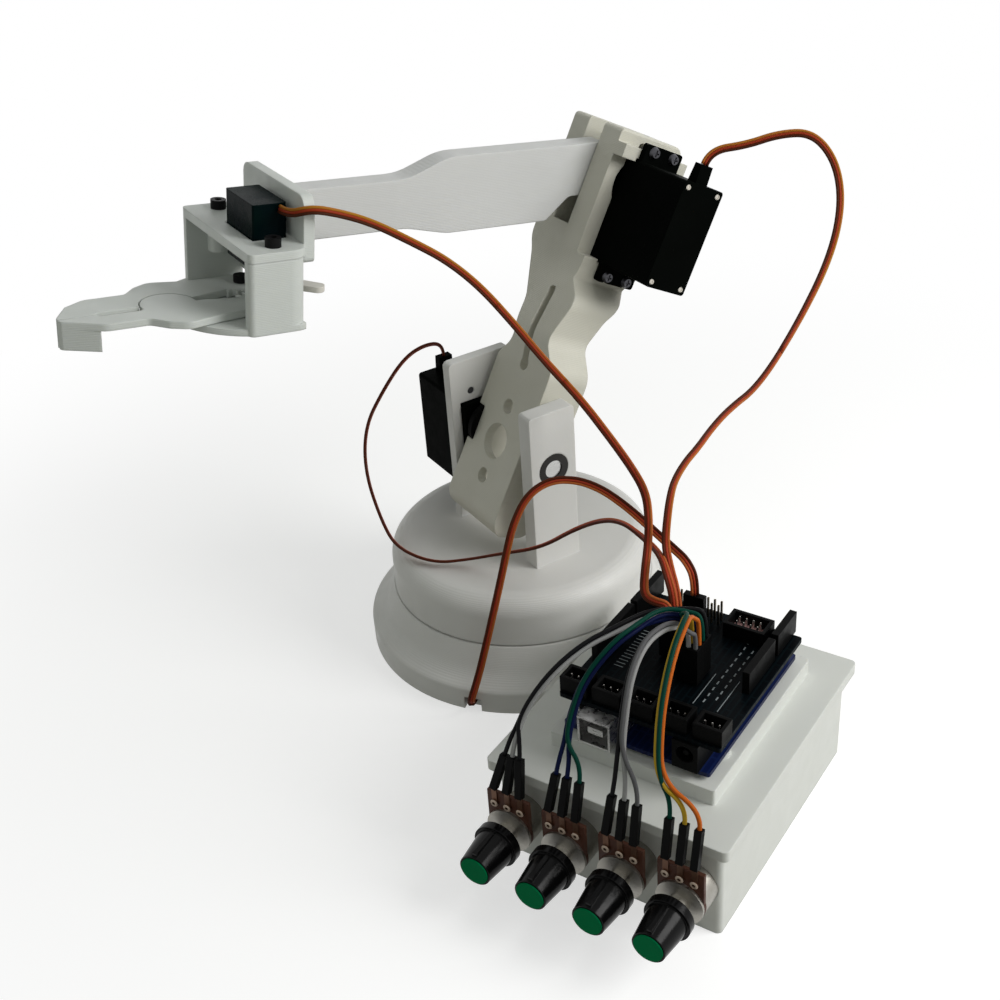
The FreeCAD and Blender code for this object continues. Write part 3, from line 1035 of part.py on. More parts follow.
def pin_grid(name, x, y, columns, rows):
    """Upright square pins; columns run along x and rows along y, from the first pin."""
    pins = []
    for i in range(columns):
        for j in range(rows):
            at_x = x + i * s.pin_pitch
            at_y = y + j * s.pin_pitch
            pins.append(box("%s_%d_%d" % (name, i, j), (at_x - s.pin_half, at_x + s.pin_half),
                            (at_y - s.pin_half, at_y + s.pin_half), (SHIELD_TOP, SHIELD_TOP + s.pin_high)))
    return pins


def shield_pins():
    servo_pins = pin_grid("servo_pin", s.servo_pins_x, s.servo_pins_y, 8, 3)
    knob_pins = pin_grid("knob_pin", s.knob_pins_x, s.knob_pins_y, 4, 3)
    spare = pin_grid("spare_pin", SHIELD_BACK + 4, SHIELD_LEFT + 12, 2, 8)
    return group("pin_group", servo_pins + knob_pins + spare)


PLUG_LOW = SHIELD_TOP + s.plug_lift
PLUG_COLUMNS = {"waist": 0, "elbow": 5, "shoulder": 6, "gripper": 7}


def sleeve(name, x, y, half_x, half_y):
    """Black housing over pins, open below by the pin's own slot."""
    block = box(name + "_block", (x - half_x, x + half_x), (y - half_y, y + half_y),
                (PLUG_LOW, PLUG_LOW + s.plug_long))
    return block


def servo_plugs():
    plugs = []
    half = s.plug_thick / 2
    room = s.pin_half + s.shaft_fit
    for i in PLUG_COLUMNS.values():
        x = s.servo_pins_x + i * s.pin_pitch
        y = s.servo_pins_y + s.pin_pitch
        block = sleeve("servo_plug_%d" % i, x, y, half, half + s.pin_pitch)
        slots = [box("servo_plug_slot_%d_%d" % (i, j), (x - room, x + room),
                     (y + (j - 1) * s.pin_pitch - room, y + (j - 1) * s.pin_pitch + room),
                     (PLUG_LOW - 1, SHIELD_TOP + s.pin_high + 0.2)) for j in range(3)]
        plugs.append(cut("servo_plug_cut_%d" % i, block, *slots))
    return group("servo_plug_group", plugs)


def board_housings():
    housings = []
    half = s.plug_thick / 2
    room = s.pin_half + s.shaft_fit
    for i in range(4):
        for j in range(3):
            x = s.knob_pins_x + i * s.pin_pitch
            y = s.knob_pins_y + j * s.pin_pitch
            name = "board_housing_%d_%d" % (i, j)
            slot = box(name + "_slot", (x - room, x + room), (y - room, y + room),
                       (PLUG_LOW - 1, SHIELD_TOP + s.pin_high + 0.2))
            housings.append(cut(name, sleeve(name, x, y, half, half), slot))
    return housings


node("control_box", control_box(), BOX_AT)
node("control_box_lid", control_box_lid(), BOX_AT)
node("controller_board", controller_board(), BOX_AT)
node("usb_socket", usb_socket(), BOX_AT)
node("power_jack", power_jack(), BOX_AT)
node("reset_switch", reset_switch(), BOX_AT)
node("reset_button", group("reset_group", [reset_button()]), BOX_AT)
node("header_strips", header_strips(), BOX_AT)
node("shield_board", shield_board(), BOX_AT)
node("shield_sockets", shield_sockets(), BOX_AT)
node("shield_pins", shield_pins(), BOX_AT)
node("servo_plugs", servo_plugs(), BOX_AT)


# Potentiometers on the front wall, with the knobs on their shafts

CAN_BACK = BOX_FRONT - s.can_seat
CAN_FRONT = CAN_BACK + s.can_deep
WAFER_FRONT = CAN_FRONT + s.wafer_thick
FACE_FRONT = WAFER_FRONT + s.face_thick
BUSH_FRONT = FACE_FRONT + s.bush_long
KNOB_BACK = FACE_FRONT + s.knob_gap
KNOB_FRONT = KNOB_BACK + s.knob_long


def pot_can(i, y):
    at = (y, s.pot_high)
    can = rod("can_%d" % i, "x", at, s.can_radius, CAN_BACK, CAN_FRONT)
    return group("can_set_%d" % i, [can, pot_face(i, at)])


def pot_face(i, at):
    face = rod("face_%d" % i, "x", at, s.can_radius, WAFER_FRONT, FACE_FRONT)
    bush = rod("bush_%d" % i, "x", at, s.bush_radius, FACE_FRONT, BUSH_FRONT)
    way = rod("bush_way_%d" % i, "x", at, s.shaft_radius + s.shaft_fit, WAFER_FRONT - 1, BUSH_FRONT + 1)
    return cut("face_cut_%d" % i, fuse("face_solid_%d" % i, face, bush), way)


def pot_wafer(i, y):
    disc = rod("wafer_disc_%d" % i, "x", (y, s.pot_high), s.can_radius, CAN_FRONT, WAFER_FRONT)
    tail = box("wafer_tail_%d" % i, (CAN_FRONT, WAFER_FRONT), (y - s.wafer_wide / 2, y + s.wafer_wide / 2),
               (s.pot_high + 2, s.pot_high + s.wafer_tail))
    return fuse("wafer_%d" % i, disc, tail)


# Sideways lean of the housings on each potentiometer's three terminals, in degrees
SIDE_LEANS = [(13, 4, -5), (6, 2, 0), (3, 0, -2), (-1.5, -1, -1)]


def housing_place(i, j):
    """Where a terminal's housing stands, leaning back over the lid and in towards its wires."""
    blade = WAFER_FRONT + s.terminal_thick / 2
    low = s.pot_high + s.wafer_tail + s.housing_up
    at = POTS[i] + j * s.terminal_pitch
    back = FreeCAD.Rotation(V(0, 1, 0), -num("housing_lean"))
    side = FreeCAD.Rotation(V(1, 0, 0), -SIDE_LEANS[i][j + 1])
    return FreeCAD.Placement(V(blade.value, at.value, low.value), back.multiply(side))


def pot_terminals(i, y):
    """Three terminals: a foot riveted to the wafer by an eyelet, and a blade bent back into the housing."""
    blades = []
    half = s.terminal_thick / 2
    eye_high = s.pot_high + s.wafer_tail - s.eyelet_drop
    for j in (-1, 0, 1):
        at = y + j * s.terminal_pitch
        name = "terminal_%d_%d" % (i, j + 1)
        foot = box(name + "_foot", (WAFER_FRONT, WAFER_FRONT + s.terminal_thick),
                   (at - s.terminal_wide / 2, at + s.terminal_wide / 2),
                   (eye_high, s.pot_high + s.wafer_tail + s.housing_up - 0.2))
        eyelet = rod(name + "_eyelet", "x", (at, eye_high), s.eyelet_radius, WAFER_FRONT,
                     WAFER_FRONT + s.eyelet_thick)
        eye = rod(name + "_eye", "x", (at, eye_high), s.eyelet_hole, WAFER_FRONT + 0.2,
                  WAFER_FRONT + s.eyelet_thick + 1)
        blade = box(name + "_blade", (-half, half), (-s.terminal_wide / 2, s.terminal_wide / 2),
                    (-0.6, s.terminal_rise))
        bent = group(name + "_bent", [blade])
        bent.Placement = housing_place(i, j)
        blades.append(cut(name, fuse(name + "_solid", foot, eyelet, bent), eye))
    return blades


def pot_shaft(i, y):
    return rod("shaft_%d" % i, "x", (y, s.pot_high), s.shaft_radius, WAFER_FRONT + 0.2,
               FACE_FRONT + s.shaft_long - 4.5)


def knob(i, y):
    """Skirted tapered knob with a pointer rib, bored for the shaft and bushing."""
    at = (y, s.pot_high)
    skirt = rod("knob_skirt_%d" % i, "x", at, s.knob_skirt, KNOB_BACK, KNOB_BACK + s.knob_skirt_high)
    taper = cone("knob_taper_%d" % i, "x", at, s.knob_base, s.knob_nose, KNOB_BACK + s.knob_skirt_high,
                 KNOB_FRONT)
    rib = box("knob_rib_%d" % i, (KNOB_BACK + 1, KNOB_FRONT - 0.6), (y - 0.9, y + 0.9),
              (s.pot_high, s.pot_high + s.knob_base + 0.3))
    solid = fuse("knob_solid_%d" % i, skirt, taper, rib)
    bush_way = rod("knob_bush_way_%d" % i, "x", at, s.bush_radius + 0.4, KNOB_BACK - 1, BUSH_FRONT + 0.4)
    shaft_way = rod("knob_shaft_way_%d" % i, "x", at, s.shaft_radius + s.fit, KNOB_BACK - 1,
                    FACE_FRONT + s.shaft_long - 4)
    cap_seat = rod("knob_cap_seat_%d" % i, "x", at, s.cap_radius + s.fit, KNOB_FRONT - s.cap_sink,
                   KNOB_FRONT + 1)
    return cut("knob_cut_%d" % i, solid, bush_way, shaft_way, cap_seat)


def knob_cap(i, y):
    return rod("cap_%d" % i, "x", (y, s.pot_high), s.cap_radius, KNOB_FRONT - s.cap_sink,
               KNOB_FRONT - s.cap_sink + s.cap_thick)


def terminal_housings():
    """Single-pin housings pushed over the terminals."""
    housings = []
    half = s.housing_wide / 2
    room = s.shaft_fit
    for i in range(len(POTS)):
        for j in (-1, 0, 1):
            name = "pot_housing_%d_%d" % (i, j + 1)
            block = box(name + "_block", (-half, half), (-half, half), (0, s.housing_long))
            slot = box(name + "_slot", (-s.terminal_thick / 2 - room, s.terminal_thick / 2 + room),
                       (-s.terminal_wide / 2 - room, s.terminal_wide / 2 + room), (-1, s.terminal_rise + 0.3))
            piece = cut(name, block, slot)
            piece.Placement = housing_place(i, j)
            housings.append(piece)
    return housings


node("pot_cans", group("pot_can_group", [pot_can(i, y) for i, y in enumerate(POTS)]), BOX_AT)
node("pot_wafers", group("pot_wafer_group", [pot_wafer(i, y) for i, y in enumerate(POTS)]), BOX_AT)
node("pot_terminals", group("pot_terminal_group",
                            [blade for i, y in enumerate(POTS) for blade in pot_terminals(i, y)]), BOX_AT)
node("jumper_housings", group("housing_group", terminal_housings() + board_housings()), BOX_AT)
for i, y in enumerate(POTS):
    node("pot_shaft_%d" % (i + 1), group("shaft_group_%d" % i, [pot_shaft(i, y)]), BOX_AT)
    node("knob_%d" % (i + 1), knob(i, y), BOX_AT)
    node("knob_cap_%d" % (i + 1), group("cap_group_%d" % i, [knob_cap(i, y)]), BOX_AT)


# Leads and wires: straight runs joined by tangent arcs, each piece a tube of its own

def cord_wire(points):
    """Wire through the points, every corner rounded over 0.45 of its shorter run; also the least radius."""
    edges = []
    start = points[0]
    least = 1e9
    for before, corner, after in zip(points, points[1:], points[2:]):
        reach = 0.45 * min((corner - before).Length, (after - corner).Length)
        back = (before - corner).normalize()
        ahead = (after - corner).normalize()
        half_turn = (math.pi - back.getAngle(ahead)) / 2
        radius = reach / math.tan(half_turn)
        inward = (back + ahead).normalize()
        apex = corner + inward * (radius / math.cos(half_turn) - radius)
        edges.append(Part.LineSegment(start, corner + back * reach).toShape())
        edges.append(Part.Arc(corner + back * reach, apex, corner + ahead * reach).toShape())
        start = corner + ahead * reach
        least = min(least, radius)
    edges.append(Part.LineSegment(start, points[-1]).toShape())
    return Part.Wire(edges), least


def tube(label, points, radius):
    wire, least = cord_wire(points)
    ring = Part.Wire(Part.makeCircle(radius, points[0], points[1] - points[0]))
    solid = wire.makePipeShell([ring], True, False)
    wanted = math.pi * radius * radius * wire.Length
    print("%s: length %.1f, least radius %.1f, volume %.3f of section times length"
          % (label, wire.Length, least, solid.Volume / wanted))
    return solid


def cord_node(label, runs, radius):
    """One node of tubes, one for each run of points."""
    solids = [tube("%s %d" % (label, i + 1), points, radius) for i, points in enumerate(runs)]
    thing = doc.addObject("Part::Feature", label)
    thing.Shape = solids[0] if len(solids) == 1 else Part.makeCompound(solids)
    thing.Placement = FreeCAD.Placement()
    PARTS.append(thing)


def relief_end(placement):
    """Where a lead leaves a standard servo's strain relief, and a point straight out from it."""
    x = (CASE_NEAR - s.relief_long).value
    z = (SERVO_BOTTOM + s.relief_rise + s.relief_high / 2).value
    return [placement.multVec(V(x, 0, z)), placement.multVec(V(x - 5.6, 0, z))]


def plug_end(lead, rise):
    """Points straight down into one of the servo plugs, from the given height over it."""
    x = (s.servo_pins_x + PLUG_COLUMNS[lead] * s.pin_pitch).value
    y = (s.servo_pins_y + s.pin_pitch).value
    top = (PLUG_LOW + s.plug_long).value
    return [BOX_AT.multVec(V(x, y, top + rise)), BOX_AT.multVec(V(x, y, top))]


def split(points, *joins):
    """Cut a row of points into pieces at the middles of the runs that follow the given points."""
    pieces = []
    start = 0
    first = []
    for join in joins:
        middle = (points[join] + points[join + 1]) / 2
        pieces.append(first + points[start:join + 1] + [middle])
        first = [middle]
        start = join + 1
    pieces.append(first + points[start:])
    return pieces


LEAD = num("lead_radius")
near_end = DRIVE_Y.value + num("micro_inset")
grip_lead_out = [FORE_AT.multVec(V(past(s.pivot_at).value - 3.5, near_end + out, high)) for out, high in
                 ((0, 7.0), (7, 7.0))]
gripper_lead = split(grip_lead_out + [
    FORE_AT.multVec(V(145, 5.4, 9.6)), V(69.5, 6.5, 199.8), V(54.8, 6, 192.3), V(39, 6.5, 180.4),
    V(28, 9, 171.7),
    V(18.3, 14, 160.6), V(10.4, 22, 146.9), V(4.2, 33, 133.3), V(-0.9, 46, 122.5), V(-3.5, 59, 112.5),
    V(-3.4, 72, 106.2), V(-0.8, 84.5, 102.3), V(5.2, 94, 98), V(11, 101, 93.8), V(16.5, 106.5, 88.8),
    V(20.2, 110.5, 83.8), V(20.6, 115.5, 83.6)] + plug_end("gripper", 7), 7, 9)
elbow_lead = split(relief_end(ELBOW_SERVO_AT) + [
    V(-88, 31, 191.5), V(-98, 37, 194.8), V(-107.5, 44.5, 195), V(-112.5, 52, 185), V(-110.5, 58.5, 171),
    V(-101, 64, 155), V(-81.8, 70, 137.6), V(-58.4, 76, 121.3), V(-42, 78.5, 118), V(-30, 83.5, 116.5),
    V(-20, 89, 115.5), V(-11, 93, 114.5), V(-3.5, 96.5, 111.5), V(1, 100, 108), V(4.5, 103, 102.5),
    V(6.8, 105, 95.5),
    V(8.8, 109.5, 90)] + plug_end("elbow", 7.6), 8)
shoulder_lead = relief_end(SHOULDER_SERVO_AT) + [
    V(8.5, -54, 108.5), V(17, -56, 104), V(27.4, -56, 93.5), V(39.5, -52, 82.2), V(45.7, -44, 66.1),
    V(47.5, -29, 49.5), V(50, -12, 47.8), V(43.5, 5, 47.5), V(32, 13, 48.8), V(24.4, 26, 55.5),
    V(15.5, 40, 62),
    V(8, 53, 74.5), V(4.6, 66, 83.8), V(3.8, 77, 88), V(4.2, 87, 88.3), V(6, 97, 89.5), V(11, 108.5, 93.2),
    V(14, 115.2, 91.6)] + plug_end("shoulder", 8)
ARCH = V(math.cos(math.radians(num("lead_angle"))), math.sin(math.radians(num("lead_angle"))), 0)
LEAD_LOW = num("plate_thick") + LEAD + 0.5
base_radius = num("base_radius")
waist_lead = relief_end(WAIST_SERVO_AT) + [
    ARCH * (base_radius * 0.6) + V(0, 0, LEAD_LOW + 1), ARCH * (base_radius * 0.8) + V(0, 0, LEAD_LOW),
    ARCH * (base_radius + 5.5) + V(0, 0, LEAD_LOW), V(49.6, 45.2, 20.3), V(45.2, 47, 38), V(40, 50, 61.9),
    V(36.9, 51.4, 76), V(34.1, 52.5, 87), V(28.5, 54, 97.5), V(20.5, 57, 102), V(13, 62, 101.8),
    V(7.5, 69, 99.5),
    V(4.5, 78, 96.5), V(2.5, 87, 93.2), V(1.5, 95, 90.6), V(1, 103, 89), V(1, 109, 88)] + plug_end("waist", 7)
cord_node("gripper_lead_1", [gripper_lead[0]], LEAD)
cord_node("gripper_lead_2", [gripper_lead[1]], LEAD)
cord_node("gripper_lead_3", [gripper_lead[2]], LEAD)
cord_node("elbow_lead_1", [elbow_lead[0]], LEAD)
cord_node("elbow_lead_2", [elbow_lead[1]], LEAD)
cord_node("shoulder_lead", [shoulder_lead], LEAD)
cord_node("waist_lead", [waist_lead], LEAD)


# Middle of each potentiometer's bundle of wires, over the lid, and the board column that it goes to
BUNDLES = [
    [(52, -30.5, 58.5), (48, -29, 65.5), (41, -23.5, 76), (31, -17, 82.5), (22, -11, 84.5),
     (8.5, -5.5, 83.6)],
    [(52, -12.5, 59), (48, -13, 66.5), (41, -12, 77), (31, -7, 86), (22, -3.5, 88), (9.5, -0.8, 86.6)],
    [(52, 7, 64), (46, 5.5, 76.5), (39, 4, 85), (31, 4.5, 91.5), (22, 6.5, 92), (15, 8, 88.5)],
    [(54, 21, 61), (46, 17.5, 76), (38, 15.5, 85), (29, 14, 92), (20, 12.5, 94), (13, 10.5, 92)],
]
BOARD_COLUMNS = [0, 1, 3, 2]
WIRE_SPREAD = 2.4
WIRE_STACK = 2.5


def beside(bundle, k, off):
    """Point of a bundle moved sideways, level and square to its run."""
    before = bundle[max(k - 1, 0)]
    after = bundle[min(k + 1, len(bundle) - 1)]
    run = V(after[0] - before[0], after[1] - before[1], 0).normalize()
    return V(*bundle[k]) + V(run.y, -run.x, 0) * off


def landing(i, j, x, y, top):
    """Last points of a wire over its board housing; two bundles come in along y, the others along x."""
    if i < 2:
        step = 2.1 * (j + 1)
        return [V(x + 0.9 - 0.4 * i, y - 4, top + 6.2 + step), V(x, y, top + 5.2 + step)]
    if i == 2:
        return [V(x + 3.2, y, top + 8), V(x, y, top + 6)]
    return [V(x + 3.4, y, top + 12.6), V(x, y, top + 9.5)]


def jumper(i, j):
    """Points of one jumper wire from a terminal's housing, in its bundle, to the board's housings."""
    low = housing_place(i, j)
    long = num("housing_long")
    x = (s.knob_pins_x + BOARD_COLUMNS[i] * s.pin_pitch).value
    y = (s.knob_pins_y + (j + 1) * s.pin_pitch).value
    top = (PLUG_LOW + s.plug_long).value
    bundle = BUNDLES[i]
    way = [low.multVec(V(0, 0, long)), low.multVec(V(0, 0, long + 6))]
    way += [beside(bundle, k, WIRE_SPREAD * j) for k in range(len(bundle))]
    if i < 2:
        way[-1] = V(*bundle[-1]) + V(0, 0, WIRE_STACK * j)
    way += landing(i, j, x, y, top) + [V(x, y, top)]
    return [BOX_AT.multVec(point) for point in way]


cord_node("jumper_wires", [jumper(i, j) for i in range(len(POTS)) for j in (-1, 0, 1)], num("wire_radius"))


# Check and write

doc.recompute()
for thing in doc.Objects:
    if "Invalid" in thing.State or "Error" in thing.State:
        raise RuntimeError("%s failed: %s" % (thing.Name, thing.State))
os.makedirs("parts", exist_ok=True)
for part in PARTS:
    if part.Shape.isNull() or not part.Shape.isValid():
        raise RuntimeError("%s has no valid shape" % part.Label)
    part.Shape.exportStep("parts/%s.step" % part.Label)
print("%d nodes" % len(PARTS))
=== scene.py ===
import math

import bpy
from mathutils import Matrix, Vector


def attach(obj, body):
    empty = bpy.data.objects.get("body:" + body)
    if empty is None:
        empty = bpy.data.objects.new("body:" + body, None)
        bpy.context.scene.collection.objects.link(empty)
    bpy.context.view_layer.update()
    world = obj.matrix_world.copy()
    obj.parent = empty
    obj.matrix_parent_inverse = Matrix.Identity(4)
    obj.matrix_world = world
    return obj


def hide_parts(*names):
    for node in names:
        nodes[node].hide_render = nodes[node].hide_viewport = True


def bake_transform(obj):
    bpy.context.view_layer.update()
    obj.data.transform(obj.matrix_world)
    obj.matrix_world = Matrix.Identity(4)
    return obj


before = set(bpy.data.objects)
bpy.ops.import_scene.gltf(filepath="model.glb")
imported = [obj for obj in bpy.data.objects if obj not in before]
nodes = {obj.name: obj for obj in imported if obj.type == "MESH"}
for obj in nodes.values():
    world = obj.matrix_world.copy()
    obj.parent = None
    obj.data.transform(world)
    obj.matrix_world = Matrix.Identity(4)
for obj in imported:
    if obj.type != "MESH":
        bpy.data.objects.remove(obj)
scene = bpy.context.scene
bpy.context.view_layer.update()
MM = 0.001


# Camera that the photograph was measured with

CAMERA_AT = Vector((254.62, 425.9, 368.95)) * MM
AZIMUTH, ELEVATION, ROLL = math.radians(59.98), math.radians(32.08), math.radians(-4.25)
BACK = Vector((math.cos(ELEVATION) * math.cos(AZIMUTH), math.cos(ELEVATION) * math.sin(AZIMUTH),
               math.sin(ELEVATION)))
level = Vector((-math.sin(AZIMUTH), math.cos(AZIMUTH), 0))
upright = BACK.cross(level)
RIGHT = math.cos(ROLL) * level + math.sin(ROLL) * upright
UP = math.cos(ROLL) * upright - math.sin(ROLL) * level
camera_data = bpy.data.cameras.new("photo_camera")
camera_data.sensor_fit = "HORIZONTAL"
camera_data.sensor_width = 36
camera_data.lens = 52.32
camera_data.clip_start = 0.01
camera = bpy.data.objects.new("photo_camera", camera_data)
camera.matrix_world = Matrix.Translation(CAMERA_AT) @ Matrix((RIGHT, UP, BACK)).transposed().to_4x4()
scene.collection.objects.link(camera)
scene.camera = camera
scene.view_settings.view_transform = "Standard"


# Frames of the pieces that carry details, in millimetres

def servo_frame(origin, long_way, shaft_way):
    """Frame of a servo: x along its case, z along its shaft, origin on top of its lugs."""
    long_way, shaft_way = Vector(long_way), Vector(shaft_way)
    turn = Matrix((long_way, shaft_way.cross(long_way), shaft_way)).transposed().to_4x4()
    return Matrix.Translation(origin) @ turn


BOX_TURN = math.radians(24.9)
BOX_AT = Matrix.Translation((15.85, 122.85, 0)) @ Matrix.Rotation(BOX_TURN, 4, "Z")
ARM_LEAN = math.radians(28)
FORE_PITCH = math.radians(8.6)
ARM_AT = Matrix.Translation((1.5, 0, 86.5)) @ Matrix.Rotation(-ARM_LEAN, 4, "Y")
SHOULDER_SERVO_AT = servo_frame((1.5, -24.5, 86.5), (0, 0, -1), (0, 1, 0))
ELBOW_SERVO_AT = ARM_AT @ servo_frame((-20.7, -1.4, 105.7), (0, 0, -1), (0, -1, 0))


# Material helpers: what is the same all over sits on the shader's own sockets

def shader(name, colour, rough=0.5, metal=0.0, **extra):
    """Material with one shader; extra values go to the sockets of the same names."""
    material = bpy.data.materials.new(name)
    material.use_nodes = True
    bsdf = material.node_tree.nodes["Principled BSDF"]
    bsdf.inputs["Base Color"].default_value = (*colour, 1)
    bsdf.inputs["Roughness"].default_value = rough
    bsdf.inputs["Metallic"].default_value = metal
    for key, value in extra.items():
        bsdf.inputs[key.replace("_", " ")].default_value = value
    return material


def add(tree, kind, values=None, **settings):
    """New node with its settings and the values of its own sockets."""
    node = tree.nodes.new(kind)
    for key, value in settings.items():
        setattr(node, key, value)
    for key, value in (values or {}).items():
        node.inputs[key].default_value = value
    return node


FINISH_INPUTS = [("Vector", "Vector"), ("First", "Color"), ("Second", "Color"), ("Smooth", "Float"),
                 ("Rough", "Float")]
FINISH_OUTPUTS = [("Colour", "Color"), ("Roughness", "Float"), ("Normal", "Vector")]


def finish_group(name):
    """Empty group that turns a place into colour, roughness and normal, and its two end nodes."""
    group = bpy.data.node_groups.new(name, "ShaderNodeTree")
    for label, kind in FINISH_INPUTS:
        group.interface.new_socket(label, in_out="INPUT", socket_type="NodeSocket" + kind)
    for label, kind in FINISH_OUTPUTS:
        group.interface.new_socket(label, in_out="OUTPUT", socket_type="NodeSocket" + kind)
    return group, add(group, "NodeGroupInput"), add(group, "NodeGroupOutput")


def noise(group, place, scale, detail=3.0):
    """Mask of soft patches, smaller as the scale grows."""
    texture = add(group, "ShaderNodeTexNoise", {"Scale": scale, "Detail": detail})
    group.links.new(place, texture.inputs["Vector"])
    return texture.outputs["Fac"]


def tone(group, enter, leave, mask):
    """Mix the two colours by a mask and send the result out."""
    mix = add(group, "ShaderNodeMix", data_type="RGBA")
    group.links.new(mask, mix.inputs["Factor"])
    group.links.new(enter.outputs["First"], mix.inputs["A"])
    group.links.new(enter.outputs["Second"], mix.inputs["B"])
    group.links.new(mix.outputs["Result"], leave.inputs["Colour"])


def gloss(group, enter, leave, mask):
    """Spread a mask between the two roughnesses and send the result out."""
    spread = add(group, "ShaderNodeMapRange", {"From Min": 0.3, "From Max": 0.7})
    group.links.new(mask, spread.inputs["Value"])
    group.links.new(enter.outputs["Smooth"], spread.inputs["To Min"])
    group.links.new(enter.outputs["Rough"], spread.inputs["To Max"])
    group.links.new(spread.outputs["Result"], leave.inputs["Roughness"])


def relief(group, leave, height, strength, deep, edge=0.0):
    """Raise the surface by a height, soften its edges by a radius and send the normal out."""
    bump = add(group, "ShaderNodeBump", {"Strength": strength, "Distance": deep})
    group.links.new(height, bump.inputs["Height"])
    if edge:
        soft = add(group, "ShaderNodeBevel", {"Radius": edge}, samples=6)
        group.links.new(soft.outputs["Normal"], bump.inputs["Normal"])
    group.links.new(bump.outputs["Normal"], leave.inputs["Normal"])


def printed_layers():
    """Printed plastic: threads laid one on another along Z, with slow patches of tone."""
    group, enter, leave = finish_group("printed_layers")
    place = enter.outputs["Vector"]
    threads = add(group, "ShaderNodeTexWave", {"Scale": 520, "Distortion": 0.8, "Detail Scale": 24},
                  bands_direction="Z")
    group.links.new(place, threads.inputs["Vector"])
    patches = add(group, "ShaderNodeMath", operation="MULTIPLY_ADD")
    patches.inputs[1].default_value = 0.18
    group.links.new(threads.outputs["Fac"], patches.inputs[0])
    group.links.new(noise(group, place, 26), patches.inputs[2])
    tone(group, enter, leave, patches.outputs["Value"])
    gloss(group, enter, leave, noise(group, place, 160))
    relief(group, leave, threads.outputs["Fac"], strength=0.16, deep=0.0004, edge=0.0007)
    return group


def moulded_grain():
    """Moulded plastic: fine spark-etched grain under faint handling marks."""
    group, enter, leave = finish_group("moulded_grain")
    place = enter.outputs["Vector"]
    tone(group, enter, leave, noise(group, place, 90))
    gloss(group, enter, leave, noise(group, place, 240))
    relief(group, leave, noise(group, place, 2600, 2.0), strength=0.10, deep=0.0002, edge=0.0004)
    return group


def drawn_metal():
    """Pressed or turned metal: fine lines along one way, with dull patches."""
    group, enter, leave = finish_group("drawn_metal")
    place = enter.outputs["Vector"]
    stretch = add(group, "ShaderNodeMapping", {"Scale": (1, 1, 14)})
    group.links.new(place, stretch.inputs["Vector"])
    lines = noise(group, stretch.outputs["Vector"], 420)
    tone(group, enter, leave, noise(group, place, 220))
    gloss(group, enter, leave, lines)
    relief(group, leave, lines, strength=0.08, deep=0.0002)
    return group


def board_tracks():
    """Circuit board: copper tracks that show through the lacquer as slightly raised lines."""
    group, enter, leave = finish_group("board_tracks")
    place = enter.outputs["Vector"]
    tracks = add(group, "ShaderNodeTexBrick",
                 {"Color1": (0, 0, 0, 1), "Color2": (0.25, 0.25, 0.25, 1), "Mortar": (1, 1, 1, 1),
                  "Scale": 95.0, "Mortar Size": 0.035, "Mortar Smooth": 0.3, "Brick Width": 0.9,
                  "Row Height": 0.22},
                 offset=0.37, squash=1.6, squash_frequency=3)
    group.links.new(place, tracks.inputs["Vector"])
    tone(group, enter, leave, tracks.outputs["Color"])
    gloss(group, enter, leave, noise(group, place, 300))
    relief(group, leave, tracks.outputs["Color"], strength=0.25, deep=0.0001)
    return group


# Heights in metres over which a sheath's colour goes from its first tone to its second
TONE_FROM_HEIGHT, TONE_TO_HEIGHT = 0.09, 0.16


def sheath_tone():
    """Soft lead sheath: colour that goes from its first tone to its second with height and in patches, with
    faint dents.
    """
    group, enter, leave = finish_group("sheath_tone")
    place = enter.outputs["Vector"]
    parts = add(group, "ShaderNodeSeparateXYZ")
    high = add(group, "ShaderNodeMapRange",
               {"From Min": TONE_FROM_HEIGHT, "From Max": TONE_TO_HEIGHT, "To Min": -0.25, "To Max": 0.3})
    height_tone = add(group, "ShaderNodeMath", operation="ADD", use_clamp=True)
    group.links.new(place, parts.inputs["Vector"])
    group.links.new(parts.outputs["Z"], high.inputs["Value"])
    group.links.new(high.outputs["Result"], height_tone.inputs[0])
    group.links.new(noise(group, place, 45, 1.0), height_tone.inputs[1])
    tone(group, enter, leave, height_tone.outputs["Value"])
    gloss(group, enter, leave, noise(group, place, 400))
    relief(group, leave, noise(group, place, 900, 1.0), strength=0.10, deep=0.0002)
    return group


PRINTED, MOULDED, DRAWN, TRACKS, SHEATH = (printed_layers(), moulded_grain(), drawn_metal(), board_tracks(),
                                           sheath_tone())


def dressed(name, group, first, second, rough, metal=0.0, turn=(0, 0, 0), **extra):
    """Material whose colour, roughness and normal come from one of the groups."""
    material = shader(name, first, rough[0], metal, **extra)
    tree = material.node_tree
    bsdf = tree.nodes["Principled BSDF"]
    coords = add(tree, "ShaderNodeTexCoord")
    mapping = add(tree, "ShaderNodeMapping", {"Rotation": turn})
    look = add(tree, "ShaderNodeGroup", node_tree=group)
    look.name = "look"
    look.inputs["First"].default_value = (*first, 1)
    look.inputs["Second"].default_value = (*second, 1)
    look.inputs["Smooth"].default_value, look.inputs["Rough"].default_value = rough
    tree.links.new(coords.outputs["Object"], mapping.inputs["Vector"])
    tree.links.new(mapping.outputs["Vector"], look.inputs["Vector"])
    tree.links.new(look.outputs["Colour"], bsdf.inputs["Base Color"])
    tree.links.new(look.outputs["Roughness"], bsdf.inputs["Roughness"])
    tree.links.new(look.outputs["Normal"], bsdf.inputs["Normal"])
    return material


def printed(name, first, second, lean=0.0):
    """Printed plastic that light sinks into a little; lean turns its layers about Y."""
    return dressed(name, PRINTED, first, second, (0.38, 0.56), turn=(0, lean, 0), Subsurface_Weight=0.12,
                   Subsurface_Scale=0.003, Subsurface_Radius=(1.0, 0.95, 0.75))


